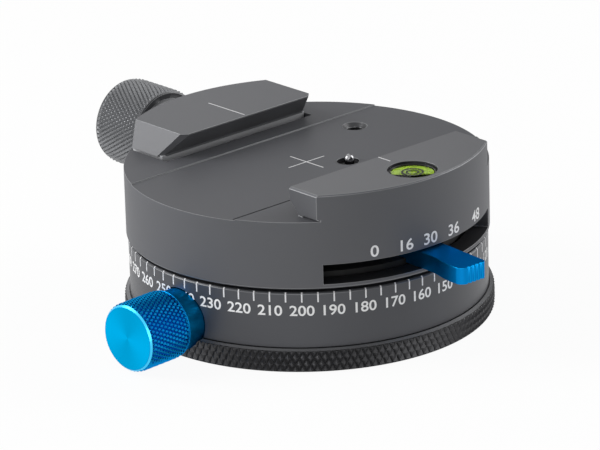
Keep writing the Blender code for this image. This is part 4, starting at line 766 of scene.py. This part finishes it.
def printed_bar(low, high, level):
    """A thin bar of print on a flat face, between two corners, in millimetres."""
    return block((*low, level - 0.01), (*high, level + 0.015))


deck_marks = placed("deck_marks", printed_bar((-4.25, -0.48), (3.65, -0.28), 0))
joined(deck_marks.data, printed_bar((-0.4, -4.4), (-0.2, -0.48), 0))
joined(deck_marks.data, printed_bar((-0.4, -0.28), (-0.2, 3.55), 0))
joined(deck_marks.data, printed_bar((0.18, -19.7), (0.38, -16.95), JAW_TOP))
dress(deck_marks, WHITE)
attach(deck_marks, "rotor")


# Bubble level
# A dark cup sunk in the fixed jaw, filled with yellow-green fluid under a clear window. The fluid has a
# faint painted glow, standing in for the light that passes through it. Two dark rings on the window are
# its centre mark and a painted outline of the bubble, standing in for the shade at the bubble's edge.
CUP = grained("level_cup_finish", (0.015, 0.015, 0.015), metal=0.3, rough=0.35)
cup = turned_piece("level_housing", [
    (0, 0.95), (3.6, 0.95), (3.6, 4.2), (3.95, 4.2), (3.95, 0.45), (0, 0.45)], 96, y=LEVEL_Y)
dress(cup, CUP, edge=0.08)
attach(cup, "rotor")
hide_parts("level_cup")

FLUID = grained(
    "level_fluid_finish", (0.3, 0.44, 0.01), metal=0.0, rough=0.5, clouds=0.1, grain=0.5, depth=0.001)
# A faint painted glow in the fluid, standing in for the light that passes through it.
painted_fluid_glow = FLUID.node_tree.nodes["Principled BSDF"].inputs
painted_fluid_glow["Emission Strength"].default_value = 0.08
painted_fluid_glow["Emission Color"].default_value = (0.5, 0.7, 0.05, 1)
fluid = turned_piece("level_filling", [
    (0, 3.3), (1.35, 3.3), (1.35, 3.72), (3.55, 3.72), (3.55, 1.0), (0, 1.0)], 96, y=LEVEL_Y)
dress(fluid, FLUID)
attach(fluid, "rotor")
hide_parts("level_fluid")

GLASS = bpy.data.materials.new("clear_glass")
GLASS.use_nodes = True
for title, value in (
        ("Base Color", (0.95, 1.0, 0.9, 1)), ("Roughness", 0.03), ("Transmission Weight", 1.0),
        ("IOR", 1.15)):
    GLASS.node_tree.nodes["Principled BSDF"].inputs[title].default_value = value
window = turned_piece("level_window", [(0, 4.1), (3.5, 4.1), (3.5, 3.85), (0, 3.85)], 96, y=LEVEL_Y)
dress(window, GLASS, edge=0.06)
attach(window, "rotor")
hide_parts("level_lens")

AIR = grained("air_finish", (0.36, 0.5, 0.03), metal=0.0, rough=0.4, clouds=0.02, grain=0.5, depth=0.0005)
bubble = turned_piece("level_air", [
    (0, 3.8), (0.7, 3.78), (1.05, 3.7), (1.15, 3.55), (1.0, 3.42), (0.6, 3.36), (0, 3.35)], 48, y=LEVEL_Y)
dress(bubble, AIR)
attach(bubble, "rotor")
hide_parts("level_bubble")

RINGS_TOP, RINGS_FOOT = 4.13, 4.09
ring_line = turned_piece("level_ring", [
    (1.5, RINGS_TOP), (1.85, RINGS_TOP), (1.85, RINGS_FOOT), (1.5, RINGS_FOOT)], 64, y=LEVEL_Y)
# The dark ring round the bubble is painted shade at the bubble's edge.
bubble_line = turned("bubble_line", [
    (0.8, RINGS_TOP), (1.05, RINGS_TOP), (1.05, RINGS_FOOT), (0.8, RINGS_FOOT)], 64)
joined(ring_line.data, moved(bubble_line, 0, LEVEL_Y))
dress(ring_line, CUP)
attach(ring_line, "rotor")


# Stop pin
# A chromed steel pin with a ball end that stands out of the deck, in a dark sleeve. The wound spring
# under it, which the pin squashes as it goes down, is drawn at one fixed length.
CHROME = grained(
    "chromed_steel", (0.3, 0.3, 0.31), metal=1.0, rough=0.12, clouds=0.02, grain=0.06, depth=0.0005)
BALL_RADIUS = 0.8
BALL_STEPS = 8
pin_section = [(0, 1.2)]
for i in range(1, BALL_STEPS + 1):
    bend = math.pi / 2 * i / BALL_STEPS
    pin_section.append((BALL_RADIUS * math.sin(bend), 0.4 + BALL_RADIUS * math.cos(bend)))
pin_section += [(BALL_RADIUS, -2.45), (1.35, -2.45), (1.35, -3.25), (0, -3.25)]
pin = turned_piece("ball_pin", pin_section, 48, x=4.8, y=-5.2)
dress(pin, CHROME)
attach(pin, "stop_pin")
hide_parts("stop_pin")


def coil(name, radius, wire, low, high, turns, steps=24, sides=8):
    """A closed helical wire about Z, from its radii, ends and turns in millimetres."""
    points, faces = [], []
    last = turns * steps
    for i in range(last + 1):
        around = 2 * math.pi * i / steps
        rise = low + wire + (high - low - 2 * wire) * i / last
        for j in range(sides):
            bend = 2 * math.pi * j / sides
            out, height = radius + wire * math.cos(bend), rise + wire * math.sin(bend)
            points.append((out * math.cos(around) * MM, out * math.sin(around) * MM, height * MM))
            if i < last:
                here, after = i * sides + j, i * sides + (j + 1) % sides
                faces.append((here, here + sides, after + sides, after))
    faces += [tuple(range(sides)), tuple(range(last * sides + sides - 1, last * sides - 1, -1))]
    mesh = bpy.data.meshes.new(name)
    mesh.from_pydata(points, [], faces)
    return mesh


SPRING_FOOT = -5.75
return_spring = placed("pin_spring", coil(
    "pin_spring", radius=0.95, wire=0.15, low=SPRING_FOOT, high=-3.3, turns=3))
moved(return_spring.data, *STOP_HOLE)
dress(return_spring, STEEL)
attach(return_spring, "rotor")
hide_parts("stop_spring")
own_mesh(return_spring)

sleeve = turned_piece("pin_sleeve", [
    (1.75, -0.7), (1.75, -2.3), (0.95, -2.3), (0.95, -0.7)], 64, *STOP_HOLE)
dress(sleeve, CUP, edge=0.06)
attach(sleeve, "rotor")
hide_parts("stop_sleeve")


# Movable jaw
# A milled block with an undercut flank, slanted ends with a facet at each front corner, and a rim that
# continues the round body. Its keel slides on two pins in the pocket of the turning top.
LIGHT_GREY = grained(
    "jaw_anodised", (0.105, 0.107, 0.115), metal=0.15, rough=0.5, clouds=0.05, grain=0.1, depth=0.006)
# A pale grey painted on the jaw's foot as the light that falls on it.
LIT_STRIP = grained(
    "faced_strip", (0.42, 0.425, 0.44), metal=0.2, rough=0.4, clouds=0.05, grain=0.1, depth=0.004)
MOVABLE_JAW_ENDS = ((-1, 13.95), (1, 14.9))
JAW_EDGE = 14.3
FLANK_FOOT = 17.95
END_LEAN = math.atan2(2.0, 4.3)
jaw = placed("moving_jaw", rail([
    (JAW_EDGE, JAW_TOP), (JAW_EDGE, 4.35), (FLANK_FOOT, 0.65), (FLANK_FOOT, 0.3), (31, 0.3),
    (31, JAW_TOP)], 17.0))
for side, end in MOVABLE_JAW_ENDS:
    near, far = sorted((0, side * 30))
    wedge = block((near, 0, -30), (far, 32, 30))
    wedge.transform(
        Matrix.Translation((side * end * MM, 0, JAW_TOP * MM))
        @ Matrix.Rotation(-side * END_LEAN, 4, "Y"))
    carve(jaw, wedge)
    outward = Vector((side, -1, -0.443)).normalized()
    facet = block((-20, -20, -0.6), (20, 20, 20))
    facet.transform(
        Matrix.Translation((side * end * MM, JAW_EDGE * MM, JAW_TOP * MM))
        @ outward.to_track_quat("Z", "Y").to_matrix().to_4x4())
    carve(jaw, facet)
# The foot under the flank, painted light grey as if lit from the front, the keel, the round rim, the
# screw's bore and the knob's clearance.
carve(jaw, block((-15.6, FLANK_FOOT, -0.9), (16.2, 31, 0.48)), "UNION", LIT_STRIP)
carve(jaw, block((-8.9, 18.2, -7.8), (8.9, 31, 0.0)), "UNION")
carve(jaw, turned("rim", [(0, 6), (29.9, 6), (29.9, -9), (0, -9)], 256), "INTERSECT")
carve(jaw, rod((0, 17, JAW_SCREW_LEVEL), (0, 31, JAW_SCREW_LEVEL), 2.7))
carve(jaw, rod((0, 29.0, JAW_SCREW_LEVEL), (0, 32, JAW_SCREW_LEVEL), 6.3, 96))
dress(jaw, LIGHT_GREY, GREY_HIGHLIGHT, edge=0.07)
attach(jaw, "jaw")
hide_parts("movable_jaw")

jaw_mark = placed("jaw_mark", printed_bar((-0.17, 14.8), (0.03, 23.8), JAW_TOP))
dress(jaw_mark, WHITE)
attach(jaw_mark, "jaw")


# Jaw knob
# A black anodised knob on the end of the jaw screw: a diamond-knurled grip between two thin lips, and a
# smooth neck towards the jaw, turned bright.
KNOB_BLACK = grained(
    "knob_anodised", (0.035, 0.036, 0.039), metal=0.3, rough=0.4, clouds=0.06, grain=0.08, depth=0.003)
NECK_GREY = grained(
    "bright_neck", (0.3, 0.305, 0.315), metal=0.5, rough=0.35, clouds=0.05, grain=0.08, depth=0.003)
TO_JAW_AXIS = Matrix.Translation((0, 0, JAW_SCREW_LEVEL * MM)) @ Matrix.Rotation(-math.pi / 2, 4, "X")
jaw_knob = turned_piece("jaw_grip", [
    (0, 45.2), (6.95, 45.2), (7.2, 45.05), (7.2, 44.95), (7.03, 44.85), (7.03, 35.35), (7.2, 35.25),
    (7.2, 35.15), (6.95, 35.0), (0, 35.0)], 128)
neck = turned("neck", [(0, 36.0), (6.0, 36.0), (6.0, 29.8), (0, 29.8)], 128)
carve(jaw_knob, neck, "UNION", NECK_GREY)
carve(jaw_knob, turned("screw_bore", [(0, 37.8), (2.5, 37.8), (2.5, 29.0), (0, 29.0)], 64))
dress(jaw_knob, KNOB_BLACK, GREY_HIGHLIGHT, edge=0.06)
# The teeth take the lighter grey, a painted highlight.
joined(jaw_knob.data, grown(
    "jaw_teeth", KNURL, root_radius=7.03 * MM, depth=0.4 * MM, start=35.35 * MM, row_height=0.6333 * MM,
    chamfer=0.25 * MM, teeth=60, rows=16, finish=GREY_HIGHLIGHT))
jaw_knob.data.transform(TO_JAW_AXIS)
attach(jaw_knob, "jaw_knob")
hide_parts("jaw_knob")


# Selector lever
# A blue anodised blade that comes out through the window, with ribs across its end and a tongue that is
# screwed to the selector disc.
REFLECTED_BLUE = (0.02, 0.45, 1.0)
# A lighter blue, painted as the highlight on the rounded edges of lever and lock knob and on the knob's
# teeth.
BLUE_HIGHLIGHT = grained(
    "blue_edge", (0.004, 0.26, 0.6), metal=1.0, rough=0.32, clouds=0.05, grain=0.08, depth=0.003,
    reflection=REFLECTED_BLUE)
LEVER_BLUE = grained(
    "lever_blue", (0.002, 0.21, 0.55), metal=1.0, rough=0.36, clouds=0.05, grain=0.08, depth=0.002,
    reflection=REFLECTED_BLUE)
LEVER_BEARING = math.radians(268.6)
LEVER_TOP = -7.45
RIB_TIP, RIB_ROOT, RIB_PITCH = 40.4, 40.12, 0.8875
CORNER, CORNER_STEPS = 1.4, 8
blade = [(26.3, 2.75), (30.0, 2.75), (39.8, 2.25), (40.1, 1.95)]
for i in range(4):
    y = 1.65 - RIB_PITCH * i
    blade += [(RIB_TIP, y), (RIB_TIP, y - 0.45), (RIB_ROOT, y - 0.6), (RIB_ROOT, y - 0.75)]
for i in range(CORNER_STEPS + 1):
    bend = math.pi / 2 * i / CORNER_STEPS
    blade.append((39.0 + CORNER * math.cos(bend), -1.9 - CORNER * math.sin(bend)))
blade += [(37.8, -3.27), (36.8, -3.17), (35.6, -2.98), (34.6, -2.75), (33.6, -2.53), (32.4, -2.37)]
blade += [(31.0, -2.3), (26.3, -2.3)]
lever = placed("lever_blade", extruded(blade, -10.25, LEVER_TOP))
carve(lever, block((19.6, -2.3, -9.6), (26.5, 2.75, LEVER_TOP)), "UNION")
for screw_hole in (21.2, 24.2):
    carve(lever, rod((screw_hole, 0, -12), (screw_hole, 0, -6), 0.9, 32))
dress(lever, LEVER_BLUE, BLUE_HIGHLIGHT, edge=0.08)
lever.data.transform(Matrix.Rotation(LEVER_BEARING, 4, "Z"))
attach(lever, "selector")
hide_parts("lever")


# Lock knob
# A blue anodised knob with a diamond knurl and a chamfer painted pale blue as a highlight. Its faced end
# is a lighter blue with a painted sheen in two opposite wedges, standing in for the reflection of its
# turned face, and a smooth collar, painted lighter as a highlight, goes into the recess of the degree
# ring.
BLUE = grained(
    "blue_anodised", (0.0012, 0.1, 0.28), metal=1.0, rough=0.42, clouds=0.05, grain=0.08, depth=0.003,
    reflection=REFLECTED_BLUE)
BLUE_SHEEN_FACE = grained(
    "blue_turned_face", (0.0005, 0.41, 0.77), metal=1.0, rough=0.24, clouds=0.03, grain=0.08, depth=0.001,
    reflection=(0.02, 0.5, 1.0))
# A lighter blue painted on the collar as a highlight.
BLUE_COLLAR_HIGHLIGHT = grained(
    "blue_collar", (0.002, 0.24, 0.55), metal=1.0, rough=0.36, clouds=0.04, grain=0.08, depth=0.002,
    reflection=REFLECTED_BLUE)
# A pale blue painted on the chamfer as a highlight.
BLUE_RIM_HIGHLIGHT = grained(
    "blue_rim", (0.06, 0.6, 0.95), metal=1.0, rough=0.3, clouds=0.03, grain=0.08, depth=0.001)
TO_LOCK_AXIS = (
    Matrix.Translation((0, 0, LOCK_LEVEL * MM)) @ Matrix.Rotation(LOCK_BEARING, 4, "Z")
    @ Matrix.Rotation(math.pi / 2, 4, "Y"))
FACE_REACH = 41.4
DARKEST_WEDGE, BRIGHTEST_WEDGE, WEDGE_TURN = 0.88, 1.1, 1.2

# A painted sheen: the face's colour swings between a darker and a lighter tone in two opposite wedges, in
# place of the reflection of its turned grooves.
sheen = BLUE_SHEEN_FACE.node_tree
face_place = node(sheen, "ShaderNodeTexCoord").outputs["Object"]
face_centre = TO_LOCK_AXIS @ Vector((0, 0, FACE_REACH * MM))
from_centre = node(sheen, "ShaderNodeVectorMath", [face_place, face_centre], operation="SUBTRACT")
parts = node(sheen, "ShaderNodeSeparateXYZ", [from_centre.outputs[0]]).outputs
round_face = result_of(sheen, "ARCTAN2", parts["Z"], parts["Y"])
wave = result_of(sheen, "SINE", result_of(sheen, "MULTIPLY_ADD", round_face, 2.0, WEDGE_TURN))
wedge_light = node(sheen, "ShaderNodeMapRange", {
    "Value": wave, "From Min": -1.0, "To Min": DARKEST_WEDGE, "To Max": BRIGHTEST_WEDGE})
face_colour = sheen.nodes["Principled BSDF"].inputs["Base Color"]
shaded_face = node(sheen, "ShaderNodeVectorMath", {
    0: face_colour.links[0].from_socket, "Scale": wedge_light.outputs["Result"]}, operation="SCALE")
sheen.links.new(shaded_face.outputs[0], face_colour)

lock_knob = turned_piece("lock_grip", [
    (0, 41.5), (5.25, 41.5), (5.62, 41.13), (5.62, 41.1), (5.4, 41.0), (5.4, 32.95), (5.6, 32.85),
    (5.6, 32.8), (5.4, 32.6), (0, 32.6)], 128)
collar = turned("collar", [(0, 34.0), (5.1, 34.0), (5.1, 28.9), (0, 28.9)], 128)
carve(lock_knob, collar, "UNION", BLUE_COLLAR_HIGHLIGHT)
carve(lock_knob, turned("stud_bore", [(0, 37.4), (2.5, 37.4), (2.5, 28.0), (0, 28.0)], 64))
facing = turned("facing", [(0, 42), (7, 42), (7, FACE_REACH), (0, FACE_REACH)], 64)
carve(lock_knob, facing, finish=BLUE_SHEEN_FACE)
rim_cut = turned("rim_cut", [(5.1, 41.5), (6.4, 41.5), (6.4, 40.2)], 128)
carve(lock_knob, rim_cut, finish=BLUE_RIM_HIGHLIGHT)
dress(lock_knob, BLUE, BLUE_HIGHLIGHT, edge=0.05)
# The teeth take the lighter blue, a painted highlight.
joined(lock_knob.data, grown(
    "lock_teeth", KNURL, root_radius=5.4 * MM, depth=0.34 * MM, start=32.95 * MM, row_height=0.6708 * MM,
    chamfer=0.2 * MM, teeth=46, rows=13, finish=BLUE_HIGHLIGHT))
lock_knob.data.transform(TO_LOCK_AXIS)
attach(lock_knob, "lock_knob")
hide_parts("lock_knob")


# Inner pieces
# What the body hides: post, bearings, brake drum, click plate, disc, slider, springs and screws, as
# turned and stamped. They keep their solids and get their metal or polymer finishes; the selector disc
# is painted near black as the shade seen through the lever's window.
BLACK_STEEL = grained("blackened_steel", (0.012, 0.012, 0.013), metal=0.4, rough=0.5)
# A near black without gloss on the selector disc, painted as the shade seen through the lever's window.
DISC_SHADE_BLACK = grained("black_disc", (0.004, 0.004, 0.004), metal=0.0, rough=0.7)
BRONZE = grained(
    "bearing_bronze", (0.42, 0.27, 0.12), metal=1.0, rough=0.35, clouds=0.08, grain=0.08, depth=0.003)
POLYMER = grained(
    "bearing_polymer", (0.7, 0.69, 0.65), metal=0.0, rough=0.5, clouds=0.04, grain=0.2, depth=0.004)
INNER = {
    "centre_post": STEEL, "brake_drum": STEEL, "jaw_screw": STEEL, "lock_stud": STEEL,
    "guide_pin_left": STEEL, "guide_pin_right": STEEL, "jaw_spring_left": STEEL,
    "jaw_spring_right": STEEL, "click_spring": STEEL, "click_plunger": STEEL, "index_plate": BLACK_STEEL,
    "selector_disc": DISC_SHADE_BLACK, "lock_guide": GREY, "bearing_sleeve": BRONZE, "jaw_washer": BRONZE,
    "click_slider": BRONZE, "lock_shoe": BRONZE, "upper_washer": POLYMER, "lower_washer": POLYMER,
}
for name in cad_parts:
    if "_screw_" in name:
        INNER.setdefault(name, BLACK_STEEL)
for name, finish in INNER.items():
    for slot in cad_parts[name].material_slots:
        slot.material = finish
